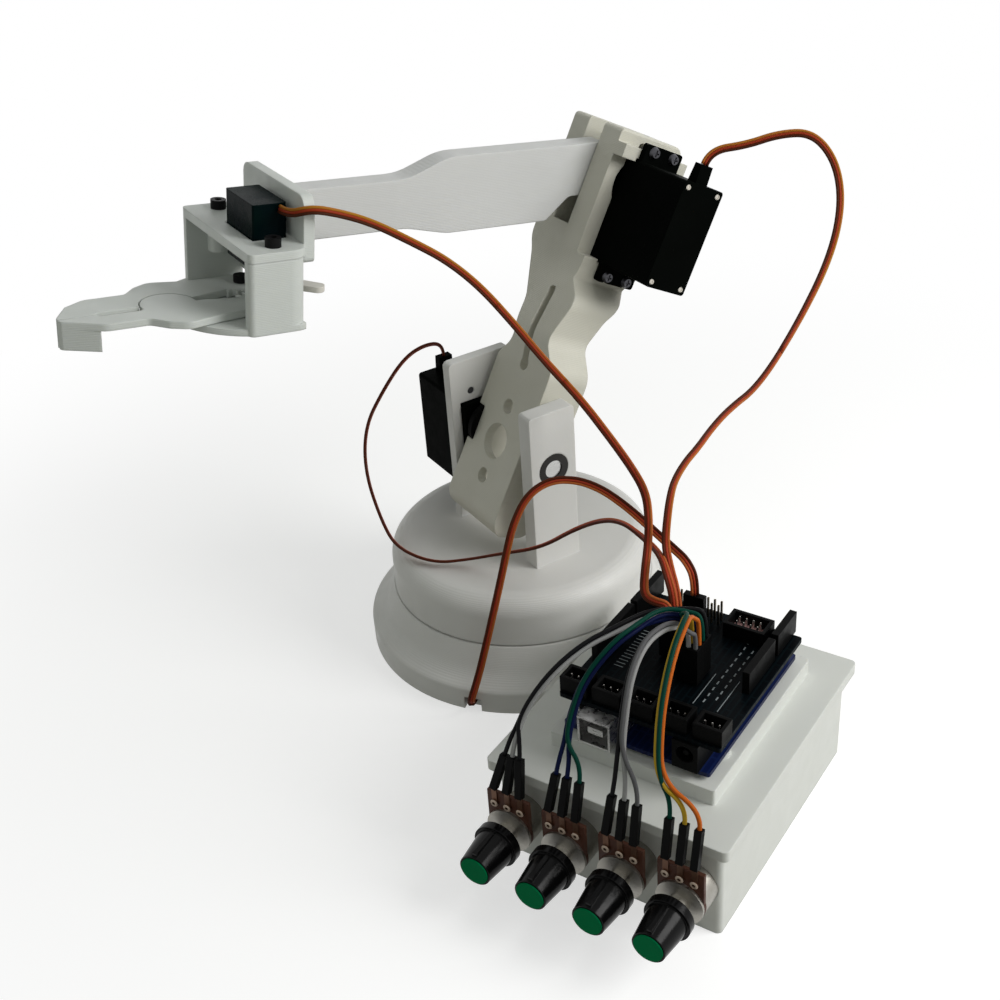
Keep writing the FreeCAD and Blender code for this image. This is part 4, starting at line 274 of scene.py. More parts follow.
def seam_group():
    """Mask of the two joints between the covers of a servo's case, by the distance along its shaft."""
    group = bpy.data.node_groups.new("case_seams", "ShaderNodeTree")
    for label in ("Along", "Lower", "Upper", "Width"):
        group.interface.new_socket(label, in_out="INPUT", socket_type="NodeSocketFloat")
    group.interface.new_socket("Mask", in_out="OUTPUT", socket_type="NodeSocketFloat")
    enter = add(group, "NodeGroupInput")
    leave = add(group, "NodeGroupOutput")
    either = add(group, "ShaderNodeMath", operation="MAXIMUM")
    for k, label in enumerate(("Lower", "Upper")):
        near = add(group, "ShaderNodeMath", operation="COMPARE")
        for socket, source in zip(near.inputs, ("Along", label, "Width")):
            group.links.new(enter.outputs[source], socket)
        group.links.new(near.outputs["Value"], either.inputs[k])
    group.links.new(either.outputs["Value"], leave.inputs["Mask"])
    return group


SEAMS = seam_group()
SEAM_WIDTH = 0.14
CASE_BLACKS = (0.0012, 0.0016, 0.0013), (0.0026, 0.0031, 0.0027)


def servo_case(name, lower, upper, axis):
    """Black servo case with a groove at each joint of its covers."""
    material = dressed(name, MOULDED, *CASE_BLACKS, (0.36, 0.5), Specular_IOR_Level=0.004)
    tree = material.node_tree
    coords = add(tree, "ShaderNodeTexCoord")
    parts = add(tree, "ShaderNodeSeparateXYZ")
    seams = add(tree, "ShaderNodeGroup", node_tree=SEAMS)
    for label, value in (("Lower", lower), ("Upper", upper), ("Width", SEAM_WIDTH)):
        seams.inputs[label].default_value = value * MM
    groove = add(tree, "ShaderNodeBump", {"Strength": 0.8, "Distance": 0.0006}, invert=True)
    tree.links.new(coords.outputs["Object"], parts.inputs["Vector"])
    tree.links.new(parts.outputs[axis], seams.inputs["Along"])
    tree.links.new(seams.outputs["Mask"], groove.inputs["Height"])
    tree.links.new(tree.nodes["look"].outputs["Normal"], groove.inputs["Normal"])
    tree.links.new(groove.outputs["Normal"], tree.nodes["Principled BSDF"].inputs["Normal"])
    return material


# Finishes of the carried-over nodes

POTS = 4
BOARD_WAY = (0, 0, -BOX_TURN)


def numbered(name):
    """Names of the nodes that come once for each potentiometer."""
    return ["%s_%d" % (name, i + 1) for i in range(POTS)]


LOOKS = {
    printed("printed_base", (0.68, 0.675, 0.655), (0.62, 0.618, 0.595)): [
        "base_shell", "base_plate", "waist_turret"],
    # Painted shade: the arm's printed plastic is made darker and olive, copying the shade and its greenish
    # cast on the arm.
    printed("printed_arm_painted_shade", (0.605, 0.595, 0.52), (0.545, 0.535, 0.46), ARM_LEAN): ["lower_arm"],
    printed("printed_forearm", (0.67, 0.675, 0.67), (0.61, 0.615, 0.605), FORE_PITCH): ["forearm"],
    # Painted shade: the gripper's grey plastic gets a green tint and slightly darker tones, copying the
    # greenish cast of its shade.
    printed("printed_gripper_painted_shade", (0.66, 0.69, 0.66), (0.60, 0.63, 0.60), FORE_PITCH): [
        "gripper_bracket", "gripper_cage", "drive_jaw", "driven_jaw"],
    printed("printed_box", (0.68, 0.695, 0.665), (0.625, 0.64, 0.605)): ["control_box", "control_box_lid"],
    servo_case("waist_case", 10.2, 30.0, "Z"): ["waist_servo"],
    servo_case("shoulder_case", -46.8, -24.4, "Y"): ["shoulder_servo"],
    servo_case("elbow_case", 20.9, -1.5, "Y"): ["elbow_servo"],
    dressed("micro_servo_case", MOULDED, (0.0008, 0.0022, 0.0058), (0.0008, 0.0085, 0.0052), (0.2, 0.34),
            Specular_IOR_Level=0.015): ["gripper_servo"],
    dressed("horn_white", MOULDED, (0.70, 0.68, 0.62), (0.62, 0.60, 0.54), (0.36, 0.5)): ["gripper_horn"],
    dressed("horn_black", MOULDED, (0.0020, 0.0020, 0.0020), (0.004, 0.004, 0.004), (0.36, 0.5),
            Specular_IOR_Level=0.03): ["waist_horn", "shoulder_horn", "elbow_horn"],
    dressed("dark_screws", DRAWN, (0.004, 0.004, 0.0045), (0.009, 0.009, 0.0095), (0.3, 0.48),
            Specular_IOR_Level=0.06): ["waist_servo_screws", "gripper_screws"],
    dressed("bright_steel", DRAWN, (0.60, 0.60, 0.59), (0.46, 0.46, 0.45), (0.2, 0.42), 1.0): [
        "shoulder_pin", "elbow_pin", "usb_socket", "reset_switch"],
    dressed("bearing_dark", DRAWN, (0.006, 0.005, 0.0045), (0.016, 0.014, 0.012), (0.3, 0.5), 0.5): [
        "shoulder_bearing"],
    dressed("board_blue", TRACKS, (0.003, 0.007, 0.045), (0.007, 0.016, 0.075), (0.28, 0.42), turn=BOARD_WAY,
            Specular_IOR_Level=0.15): ["controller_board"],
    dressed("shield_dark", TRACKS, (0.0012, 0.0019, 0.0027), (0.0024, 0.0052, 0.0066), (0.3, 0.45),
            turn=BOARD_WAY, Specular_IOR_Level=0.03): ["shield_board"],
    dressed("black_plastic", MOULDED, (0.0018, 0.0019, 0.0019), (0.0036, 0.0037, 0.0037), (0.32, 0.5),
            Specular_IOR_Level=0.04): [
        "power_jack", "header_strips", "shield_sockets", "servo_plugs", "jumper_housings", "reset_button"],
    dressed("pin_gold", DRAWN, (0.16, 0.13, 0.08), (0.09, 0.075, 0.05), (0.25, 0.42), 1.0): ["shield_pins"],
    dressed("pot_metal", DRAWN, (0.42, 0.41, 0.38), (0.25, 0.235, 0.20), (0.26, 0.5), 1.0): [
        "pot_cans", *numbered("pot_shaft")],
    dressed("pot_wafer", MOULDED, (0.040, 0.013, 0.007), (0.070, 0.025, 0.013), (0.4, 0.62),
            Specular_IOR_Level=0.2): ["pot_wafers"],
    dressed("terminal_tin", DRAWN, (0.14, 0.07, 0.04), (0.08, 0.04, 0.024), (0.3, 0.5), 0.8): [
        "pot_terminals"],
    dressed("knob_black", MOULDED, (0.0018, 0.0018, 0.0020), (0.0032, 0.0032, 0.0034), (0.12, 0.24),
            Specular_IOR_Level=0.1): numbered("knob"),
    dressed("cap_green", MOULDED, (0.0015, 0.200, 0.070), (0.0015, 0.165, 0.058), (0.3, 0.45),
            Specular_IOR_Level=0.01): numbered("knob_cap"),
}
for look, names in LOOKS.items():
    for name in names:
        nodes[name].data.materials.clear()
        nodes[name].data.materials.append(look)


# Leads and wires along the same control points as the solids

def route_curve(name, points):
    """Curve with one smooth open spline that has the route's points as its control points."""
    curve = bpy.data.curves.new(name, "CURVE")
    curve.dimensions = "3D"
    curve.resolution_u = 8
    spline = curve.splines.new("NURBS")
    spline.points.add(len(points) - 1)
    for point, spot in zip(spline.points, points):
        point.co = (*(Vector(spot) * MM), 1)
    spline.order_u = 3
    spline.use_endpoint_u = True
    return curve


def plain_mesh(thing):
    """Mesh of an object as it is after its curves and modifiers."""
    return bpy.data.meshes.new_from_object(thing.evaluated_get(bpy.context.evaluated_depsgraph_get()))


def route_points(name, points):
    """Points read from the route's spline, start to end."""
    guide = bpy.data.objects.new(name + "_guide", route_curve(name + "_guide", points))
    scene.collection.objects.link(guide)
    mesh = plain_mesh(guide)
    spots = [v.co.copy() for v in mesh.vertices]
    bpy.data.objects.remove(guide)
    bpy.data.meshes.remove(mesh)
    return spots


def line_length(spots):
    """Length of the line through the spots."""
    return sum((b - a).length for a, b in zip(spots, spots[1:]))


def sheath(name, first, second):
    """Soft plastic of a strand or wire, between two tones of its colour."""
    return dressed(name, SHEATH, first, second, (0.36, 0.52), Specular_IOR_Level=0.05)


STRANDS = [sheath("lead_brown", (0.080, 0.018, 0.009), (0.055, 0.016, 0.006)),
           sheath("lead_red", (0.36, 0.045, 0.022), (0.28, 0.036, 0.012)),
           sheath("lead_orange", (0.44, 0.085, 0.036), (0.38, 0.165, 0.016))]
STRAND_RADIUS, STRAND_PITCH, STRAND_SIDES = 0.55, 0.95, 10


def between(values, share):
    """Value at a share of the way along a row of evenly spaced values."""
    place = share * (len(values) - 1)
    k = min(int(place), len(values) - 2)
    return values[k] + (values[k + 1] - values[k]) * (place - k)


def ribbon(name, points, rolls):
    """Flat lead of three strands side by side; rolls turn it about its run, from flat to the viewer."""
    spots = route_points(name, points)
    verts, faces, tints = [], [], []
    last = len(spots) - 1
    for k, offset in enumerate((-STRAND_PITCH, 0, STRAND_PITCH)):
        start = len(verts)
        for i, spot in enumerate(spots):
            ahead = (spots[min(i + 1, last)] - spots[max(i - 1, 0)]).normalized()
            flat = ahead.cross(BACK).normalized()
            turn = Matrix.Rotation(math.radians(between(rolls, i / last)), 3, ahead)
            across = turn @ flat
            out = across.cross(ahead)
            centre = spot + across * offset * MM
            for j in range(STRAND_SIDES):
                angle = 2 * math.pi * j / STRAND_SIDES
                verts.append(centre + (across * math.cos(angle) + out * math.sin(angle)) * STRAND_RADIUS * MM)
        for i in range(last):
            for j in range(STRAND_SIDES):
                a = start + i * STRAND_SIDES + j
                b = start + i * STRAND_SIDES + (j + 1) % STRAND_SIDES
                faces.append((a, b, b + STRAND_SIDES, a + STRAND_SIDES))
                tints.append(k)
        faces.append(tuple(start + j for j in reversed(range(STRAND_SIDES))))
        faces.append(tuple(start + last * STRAND_SIDES + j for j in range(STRAND_SIDES)))
        tints += [k, k]
    mesh = bpy.data.meshes.new(name)
    mesh.from_pydata(verts, [], faces)
    for material in STRANDS:
        mesh.materials.append(material)
    mesh.polygons.foreach_set("material_index", tints)
    mesh.shade_smooth()
    mesh.update()
    lead = bpy.data.objects.new(name, mesh)
    scene.collection.objects.link(lead)
    return lead, spots


PIN_PITCH, PLUG_TOP = 2.54, 76.6
PLUGS_X, PLUGS_Y = -17.2, -2.0


def plug_end(column, rise):
    """Points straight down into one of the servo plugs, from the given height over it."""
    x = PLUGS_X + column * PIN_PITCH
    return [tuple(BOX_AT @ Vector((x, PLUGS_Y, PLUG_TOP + up))) for up in (rise, 0)]


GRIPPER_1 = [(80.4, -7, 199.4), (80.4, 0, 199.4), (75.5, 5.4, 201.3), (69.5, 6.5, 199.8), (54.8, 6, 192.3),
             (39, 6.5, 180.4), (28, 9, 171.7), (18.3, 14, 160.6), (14.35, 18, 153.75)]
GRIPPER_2 = [(14.35, 18, 153.75), (10.4, 22, 146.9), (4.2, 33, 133.3), (1.65, 39.5, 127.9)]
GRIPPER_3 = [(1.65, 39.5, 127.9), (-0.9, 46, 122.5), (-3.5, 59, 112.5), (-3.4, 72, 106.2),
             (-0.8, 84.5, 102.3), (5.2, 94, 98), (11, 101, 93.8), (16.5, 106.5, 88.8), (20.2, 110.5, 83.8),
             (20.6, 115.5, 83.6)] + plug_end(7, 7)
ELBOW_1 = [(-74.5, 23.7, 185.3), (-77.1, 23.7, 190.2), (-88, 31, 191.5), (-98, 37, 194.8),
           (-107.5, 44.5, 195), (-112.5, 52, 185), (-110.5, 58.5, 171), (-101, 64, 155), (-81.8, 70, 137.6),
           (-70.1, 73, 129.45)]
ELBOW_2 = [(-70.1, 73, 129.45), (-58.4, 76, 121.3), (-42, 78.5, 118), (-30, 83.5, 116.5), (-20, 89, 115.5),
           (-11, 93, 114.5), (-3.5, 96.5, 111.5), (1, 100, 108), (4.5, 103, 102.5), (6.8, 105, 95.5),
           (8.8, 109.5, 90)] + plug_end(5, 7.6)
SHOULDER = [(1.5, -49.6, 103.7), (1.5, -49.6, 109.3), (8.5, -54, 108.5), (17, -56, 104), (27.4, -56, 93.5),
            (39.5, -52, 82.2), (45.7, -44, 66.1), (47.5, -29, 49.5), (50, -12, 47.8), (43.5, 5, 47.5),
            (32, 13, 48.8), (24.4, 26, 55.5), (15.5, 40, 62), (8, 53, 74.5), (4.6, 66, 83.8), (3.8, 77, 88),
            (4.2, 87, 88.3), (6, 97, 89.5), (11, 108.5, 93.2), (14, 115.2, 91.6)] + plug_end(6, 8)
WAIST = [(17.2, 0, 7.4), (22.8, 0, 7.4), (30.2, 23.7, 5), (40.2, 31.7, 4), (54.6, 43, 4), (49.6, 45.2, 20.3),
         (45.2, 47, 38), (40, 50, 61.9), (36.9, 51.4, 76), (34.1, 52.5, 87), (28.5, 54, 97.5),
         (20.5, 57, 102), (13, 62, 101.8), (7.5, 69, 99.5), (4.5, 78, 96.5), (2.5, 87, 93.2), (1.5, 95, 90.6),
         (1, 103, 89), (1, 109, 88)] + plug_end(0, 7)
LEADS = [
    ("gripper_lead_1", GRIPPER_1, (205, 170, 165), ("forearm", "lower_arm")),
    ("gripper_lead_2", GRIPPER_2, (165, 170), ("lower_arm", "waist")),
    ("gripper_lead_3", GRIPPER_3, (170, 205, 180), ("waist", "base")),
    ("elbow_lead_1", ELBOW_1, (180, 190, 170, 135), ("lower_arm", "waist")),
    ("elbow_lead_2", ELBOW_2, (135, 145, 180), ("waist", "base")),
    ("shoulder_lead", SHOULDER, (100, 95, 90, 120, 180), ("waist", "base")),
    ("waist_lead", WAIST, (0, 12, 25, 10, 0), None),
]
for name, points, rolls, crosses in LEADS:
    lead, spots = ribbon(name + "_ribbon", points, rolls)
    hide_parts(name)
    if crosses:
        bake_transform(lead)
    else:
        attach(lead, "base")

WIRE_TINTS = {
    "black": (0.007, 0.007, 0.008), "white": (0.36, 0.36, 0.36), "grey": (0.115, 0.115, 0.12),
    "blue": (0.004, 0.008, 0.045), "green": (0.001, 0.042, 0.028), "yellow": (0.52, 0.33, 0.03),
    "orange": (0.50, 0.115, 0.015),
}
WIRE_SHADE = 0.72
WIRES = {tint: sheath("wire_" + tint, colour, [WIRE_SHADE * part for part in colour])
         for tint, colour in WIRE_TINTS.items()}
WIRE_ORDER = ["black", "white", "black", "blue", "blue", "green", "black", "white", "grey", "green", "yellow",
              "orange"]
POT_PITCH, TERMINAL_PITCH, HOUSING_LONG = 21.0, 5.0, 14.0
TERMINAL_FACE, TERMINAL_TOP = 59.65, 36.2
JUMPERS_X, JUMPERS_Y = 1.5, 6.2
HOUSING_LEAN = math.radians(14)
SIDE_LEANS = [(13, 4, -5), (6, 2, 0), (3, 0, -2), (-1.5, -1, -1)]
BUNDLES = [
    [(52, -30.5, 58.5), (48, -29, 65.5), (41, -23.5, 76), (31, -17, 82.5), (22, -11, 84.5),
     (8.5, -5.5, 83.6)],
    [(52, -12.5, 59), (48, -13, 66.5), (41, -12, 77), (31, -7, 86), (22, -3.5, 88), (9.5, -0.8, 86.6)],
    [(52, 7, 64), (46, 5.5, 76.5), (39, 4, 85), (31, 4.5, 91.5), (22, 6.5, 92), (15, 8, 88.5)],
    [(54, 21, 61), (46, 17.5, 76), (38, 15.5, 85), (29, 14, 92), (20, 12.5, 94), (13, 10.5, 92)],
]
BOARD_COLUMNS = [0, 1, 3, 2]
WIRE_RADIUS, WIRE_SPREAD, WIRE_STACK, WIRE_STRAIGHT = 0.75, 1.6, 2.5, 6
TOP_WIRES, TOP_RISE = [1, 1, 1, -1], 1.4
LANDING_STEP = 2.1


def terminal_y(i, j):
    """Place along the box of a potentiometer's terminal: left, middle or right by j."""
    return (i - 1.5) * POT_PITCH + j * TERMINAL_PITCH


def housing_point(i, j, rise):
    """Point over a terminal, up the middle of the housing that stands on it."""
    side = math.radians(SIDE_LEANS[i][j + 1])
    low = Vector((TERMINAL_FACE, terminal_y(i, j), TERMINAL_TOP))
    up = Vector((-math.sin(HOUSING_LEAN) * math.cos(side), math.sin(side),
                 math.cos(HOUSING_LEAN) * math.cos(side)))
    return low + up * rise


def beside(bundle, k, off):
    """Point of a bundle moved sideways, level and square to its run."""
    run = Vector(bundle[min(k + 1, len(bundle) - 1)]) - Vector(bundle[max(k - 1, 0)])
    run.z = 0
    run.normalize()
    return Vector(bundle[k]) + Vector((run.y, -run.x, 0)) * off


def landing(i, j, x, y):
    """Last points of a wire over its board housing; two bundles come in along y, the others along x."""
    if i < 2:
        step = LANDING_STEP * (j + 1)
        return [(x + 0.9 - 0.4 * i, y - 4, PLUG_TOP + 6.2 + step), (x, y, PLUG_TOP + 5.2 + step)]
    if i == 2:
        return [(x + 3.2, y, PLUG_TOP + 8), (x, y, PLUG_TOP + 6)]
    return [(x + 3.4, y, PLUG_TOP + 12.6), (x, y, PLUG_TOP + 9.5)]


def jumper_points(i, j):
    """Route of one jumper wire from a terminal's housing, in its bundle, to the board's housings."""
    x = JUMPERS_X + BOARD_COLUMNS[i] * PIN_PITCH
    y = JUMPERS_Y + (j + 1) * PIN_PITCH
    bundle = BUNDLES[i]
    way = [housing_point(i, j, HOUSING_LONG), housing_point(i, j, HOUSING_LONG + WIRE_STRAIGHT)]
    on_top = j == TOP_WIRES[i]
    rise = Vector((0, 0, TOP_RISE if on_top else 0))
    off = 0 if on_top else WIRE_SPREAD * (j + 0.5 * TOP_WIRES[i])
    way += [beside(bundle, k, off) + rise for k in range(len(bundle))]
    if i < 2:
        way[-1] = Vector(bundle[-1]) + Vector((0, 0, WIRE_STACK * j))
    way += [Vector(spot) for spot in landing(i, j, x, y) + [(x, y, PLUG_TOP)]]
    return [BOX_AT @ point for point in way]


for i in range(POTS):
    for j in (-1, 0, 1):
        k = 3 * i + j + 1
        name = "jumper_wire_%d" % (k + 1)
        points = jumper_points(i, j)
        curve = route_curve(name, points)
        curve.bevel_depth = WIRE_RADIUS * MM
        curve.bevel_resolution = 3
        curve.use_fill_caps = True
        curve.materials.append(WIRES[WIRE_ORDER[k]])
        wire = bpy.data.objects.new(name, curve)
        scene.collection.objects.link(wire)
        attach(wire, "base")
        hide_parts("jumper_wires")
        line_length(route_points(name, points))


# Screws, pins and marks that repeat, grown by geometry nodes

def growth_tree(name, inputs):
    """Empty geometry tree that takes spots and sizes, and its two end nodes."""
    tree = bpy.data.node_groups.new(name, "GeometryNodeTree")
    tree.interface.new_socket("Spots", in_out="INPUT", socket_type="NodeSocketGeometry")
    for label, kind in inputs:
        tree.interface.new_socket(label, in_out="INPUT", socket_type="NodeSocket" + kind)
    tree.interface.new_socket("Pieces", in_out="OUTPUT", socket_type="NodeSocketGeometry")
    return tree, add(tree, "NodeGroupInput"), add(tree, "NodeGroupOutput")


def at_spots(tree, enter, leave, shapes):
    """Join the shapes, put them at every spot, make them real and give them their finish."""
    joined = add(tree, "GeometryNodeJoinGeometry")
    for shape in shapes:
        tree.links.new(shape, joined.inputs["Geometry"])
    copies = add(tree, "GeometryNodeInstanceOnPoints")
    real = add(tree, "GeometryNodeRealizeInstances")
    coat = add(tree, "GeometryNodeSetMaterial")
    tree.links.new(enter.outputs["Spots"], copies.inputs["Points"])
    tree.links.new(joined.outputs["Geometry"], copies.inputs["Instance"])
    tree.links.new(enter.outputs["Turn"], copies.inputs["Rotation"])
    tree.links.new(copies.outputs["Instances"], real.inputs["Geometry"])
    tree.links.new(real.outputs["Geometry"], coat.inputs["Geometry"])
    tree.links.new(enter.outputs["Finish"], coat.inputs["Material"])
    tree.links.new(coat.outputs["Geometry"], leave.inputs["Pieces"])


def sized(tree, kind, sources, **values):
    """Mesh primitive whose sizes come from other sockets."""
    shape = add(tree, kind, values)
    for label, source in sources.items():
        tree.links.new(source, shape.inputs[label])
    return shape.outputs["Mesh"]


def times(tree, source, factor):
    """Socket's value times a number."""
    product = add(tree, "ShaderNodeMath", operation="MULTIPLY")
    product.inputs[1].default_value = factor
    tree.links.new(source, product.inputs[0])
    return product.outputs["Value"]


def vector(tree, x, y, z):
    """Vector from three sockets or numbers."""
    joined = add(tree, "ShaderNodeCombineXYZ")
    for socket, source in zip(joined.inputs, (x, y, z)):
        if isinstance(source, (int, float)):
            socket.default_value = source
        else:
            tree.links.new(source, socket)
    return joined.outputs["Vector"]


def moved(tree, shape, offset, turn=(0, 0, 0)):
    """Shape turned and then moved by an offset."""
    shift = add(tree, "GeometryNodeTransform", {"Rotation": turn})
    tree.links.new(shape, shift.inputs["Geometry"])
    tree.links.new(offset, shift.inputs["Translation"])
    return shift.outputs["Geometry"]


def screw_tree():
    """Pan-head screws with a cross recess; the head stands on the spot and the shank goes below it."""
    tree, enter, leave = growth_tree("pan_screws", [
        ("Head Radius", "Float"), ("Head Height", "Float"), ("Shank Radius", "Float"),
        ("Shank Length", "Float"), ("Recess Width", "Float"), ("Turn", "Vector"), ("Finish", "Material")])
    size = enter.outputs
    head = sized(tree, "GeometryNodeMeshCone",
                 {"Radius Bottom": size["Head Radius"], "Depth": size["Head Height"],
                  "Radius Top": times(tree, size["Head Radius"], 0.74)}, Vertices=28)
    long = times(tree, size["Head Radius"], 1.1)
    bars = []
    for way in ((long, size["Recess Width"]), (size["Recess Width"], long)):
        bar = sized(tree, "GeometryNodeMeshCube", {"Size": vector(tree, *way, size["Head Height"])})
        bars.append(moved(tree, bar, vector(tree, 0, 0, size["Head Height"])))
    recess = add(tree, "GeometryNodeMeshBoolean", operation="DIFFERENCE", solver="EXACT")
    tree.links.new(head, recess.inputs["Mesh 1"])
    for bar in bars:
        tree.links.new(bar, recess.inputs["Mesh 2"])
    shank = sized(tree, "GeometryNodeMeshCylinder",
                  {"Radius": size["Shank Radius"], "Depth": size["Shank Length"]}, Vertices=20)
    shank = moved(tree, shank, vector(tree, 0, 0, times(tree, size["Shank Length"], -0.5)))
    at_spots(tree, enter, leave, [recess.outputs["Mesh"], shank])
    return tree


def pin_tree():
    """Square pins with tapered tips, standing on their spots."""
    tree, enter, leave = growth_tree("square_pins", [
        ("Width", "Float"), ("Height", "Float"), ("Tip", "Float"), ("Turn", "Vector"),
        ("Finish", "Material")])
    size = enter.outputs
    stem = sized(tree, "GeometryNodeMeshCube",
                 {"Size": vector(tree, size["Width"], size["Width"], size["Height"])})
    stem = moved(tree, stem, vector(tree, 0, 0, times(tree, size["Height"], 0.5)))
    tip = sized(tree, "GeometryNodeMeshCone",
                {"Radius Bottom": times(tree, size["Width"], 0.7071),
                 "Radius Top": times(tree, size["Width"], 0.35), "Depth": size["Tip"]}, Vertices=4)
    tip = moved(tree, tip, vector(tree, 0, 0, size["Height"]), (0, 0, math.pi / 4))
    at_spots(tree, enter, leave, [stem, tip])
    return tree


def mark_tree():
    """Thin raised marks, all of one size, lying on their spots."""
    tree, enter, leave = growth_tree("raised_marks", [("Size", "Vector"), ("Turn", "Vector"),
                                                      ("Finish", "Material")])
    bar = sized(tree, "GeometryNodeMeshCube", {"Size": enter.outputs["Size"]})
    at_spots(tree, enter, leave, [bar])
    return tree


def eyelet_tree():
    """Rolled rims of eyelets, standing on their spots round an open middle."""
    tree, enter, leave = growth_tree("eyelet_rims", [
        ("Rim Radius", "Float"), ("Hole Radius", "Float"), ("Height", "Float"), ("Turn", "Vector"),
        ("Finish", "Material")])
    size = enter.outputs
    rim = sized(tree, "GeometryNodeMeshCone",
                {"Radius Bottom": size["Rim Radius"], "Depth": size["Height"],
                 "Radius Top": times(tree, size["Rim Radius"], 0.75)}, Vertices=24)
    hole = sized(tree, "GeometryNodeMeshCylinder",
                 {"Radius": size["Hole Radius"], "Depth": times(tree, size["Height"], 4)}, Vertices=20)
    ring = add(tree, "GeometryNodeMeshBoolean", operation="DIFFERENCE", solver="EXACT")
    tree.links.new(rim, ring.inputs["Mesh 1"])
    tree.links.new(hole, ring.inputs["Mesh 2"])
    at_spots(tree, enter, leave, [ring.outputs["Mesh"]])
    return tree


SCREWS, PINS, MARKS, EYELETS = screw_tree(), pin_tree(), mark_tree(), eyelet_tree()


def grow(name, tree, spots, body, slot, **inputs):
    """Plain mesh of what a tree makes at the spots, riding on a body."""
    mesh = bpy.data.meshes.new(name + "_spots")
    mesh.from_pydata([Vector(spot) * MM for spot in spots], [], [])
    seed = bpy.data.objects.new(name + "_seed", mesh)
    scene.collection.objects.link(seed)
    modifier = seed.modifiers.new(name, "NODES")
    modifier.node_group = tree
    sockets = {item.name: item.identifier for item in tree.interface.items_tree if item.in_out == "INPUT"}
    for key, value in inputs.items():
        modifier[sockets[key.replace("_", " ")]] = value
    made = plain_mesh(seed)
    made.name = name
    bpy.data.objects.remove(seed)
    piece = bpy.data.objects.new(name, made)
    scene.collection.objects.link(piece)
    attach(piece, body)
    return piece


DOWNWARD = Matrix.Rotation(math.pi, 3, "X")
LUG_HOLES = [(x, y, -2.5) for x in (-14.6, 34.9) for y in (-5, 5)]
COVER_CORNERS = [(x, y, -29.8) for x in (-8.0, 28.3) for y in (-7.6, 7.6)]
for name, at, body in (("shoulder", SHOULDER_SERVO_AT, "waist"), ("elbow", ELBOW_SERVO_AT, "lower_arm")):
    turn = (at.to_3x3() @ DOWNWARD).to_euler()
    holes = [at @ Vector(hole) for hole in LUG_HOLES]
    corners = [at @ Vector(corner) for corner in COVER_CORNERS]
    lugs = grow(name + "_lug_screws", SCREWS, holes, body, "dark_screws",
                Head_Radius=2.3 * MM, Head_Height=1.4 * MM, Shank_Radius=1.45 * MM, Shank_Length=6.5 * MM,
                Recess_Width=0.6 * MM, Turn=turn, Finish=bpy.data.materials["dark_screws"])
    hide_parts(name + "_servo_screws")
    grow(name + "_cover_screws", SCREWS, corners, body, "bright_steel",
         Head_Radius=1.05 * MM, Head_Height=0.4 * MM, Shank_Radius=0.6 * MM, Shank_Length=2.0 * MM,
         Recess_Width=0.34 * MM, Turn=turn, Finish=bpy.data.materials["pot_metal"])

SHIELD_TOP = 61.8
ON_BOARD = (0, 0, BOX_TURN)


def on_box(spots):
    """Spots given from the control box's middle, in the shared frame."""
    return [BOX_AT @ Vector(spot) for spot in spots]


SOCKETS_X, SOCKETS_Y, SOCKET_PITCH = 28.95, -21, 12
BACK_X, BACK_Y = -22.8, 15.5
socket_spots = [(SOCKETS_X, SOCKETS_Y + SOCKET_PITCH * i + PIN_PITCH * j, SHIELD_TOP + 1)
                for i in range(5) for j in (-1, 0, 1)]
back_spots = [(BACK_X + PIN_PITCH * (i - 0.5), BACK_Y + PIN_PITCH * j, SHIELD_TOP + 1.6)
              for i in range(2) for j in (-1.5, -0.5, 0.5, 1.5)]
grow("socket_pins", PINS, on_box(socket_spots + back_spots), "base", "pin_gold",
     Width=0.64 * MM, Height=3.8 * MM, Tip=0.5 * MM, Turn=ON_BOARD,
     Finish=dressed("pin_tin", DRAWN, (0.66, 0.64, 0.60), (0.5, 0.48, 0.44), (0.2, 0.36), 1.0))
grow("socket_insert", MARKS, on_box([(BACK_X, BACK_Y, SHIELD_TOP + 1.3)]), "base", "black_plastic",
     Size=(6.4 * MM, 12.4 * MM, 0.6 * MM), Turn=ON_BOARD,
     Finish=dressed("insert_pink", MOULDED, (0.62, 0.36, 0.36), (0.54, 0.30, 0.31), (0.4, 0.55)))

EYELET_FACE, EYELET_UP = 60.3, 29.8
eyelets = [(EYELET_FACE, terminal_y(i, j), EYELET_UP) for i in range(POTS) for j in (-1, 0, 1)]
grow("pot_eyelets", EYELETS, on_box(eyelets), "base", "terminal_tin",
     Rim_Radius=1.4 * MM, Hole_Radius=0.65 * MM, Height=0.3 * MM, Turn=(0, math.pi / 2, BOX_TURN),
     Finish=dressed("eyelet_tin", DRAWN, (0.50, 0.40, 0.32), (0.36, 0.27, 0.20), (0.4, 0.6), 0.2))

ink = dressed("board_ink", MOULDED, (0.30, 0.34, 0.35), (0.20, 0.23, 0.24), (0.5, 0.65))
MARK_LIFT, MARK_HIGH = SHIELD_TOP + 0.02, 0.06
comb = [(-8.6 + 1.75 * k, -15.4, MARK_LIFT) for k in range(13)]
grow("board_comb", MARKS, on_box(comb), "base", "shield_dark",
     Size=(0.32 * MM, 3.4 * MM, MARK_HIGH * MM), Turn=ON_BOARD, Finish=ink)
dashes = [(-19.0 + 3.4 * k, 17.4, MARK_LIFT) for k in range(11)]
dashes += [(-15.0 + 3.4 * k, 20.6, MARK_LIFT) for k in range(9)]
grow("board_dashes", MARKS, on_box(dashes), "base", "shield_dark",
     Size=(1.7 * MM, 0.5 * MM, MARK_HIGH * MM), Turn=ON_BOARD, Finish=ink)
rules = [(9.5, 14.8, MARK_LIFT), (9.5, 23.4, MARK_LIFT)]
grow("board_rules", MARKS, on_box(rules), "base", "shield_dark",
     Size=(17.0 * MM, 0.3 * MM, MARK_HIGH * MM), Turn=ON_BOARD, Finish=ink)


# Floor and light

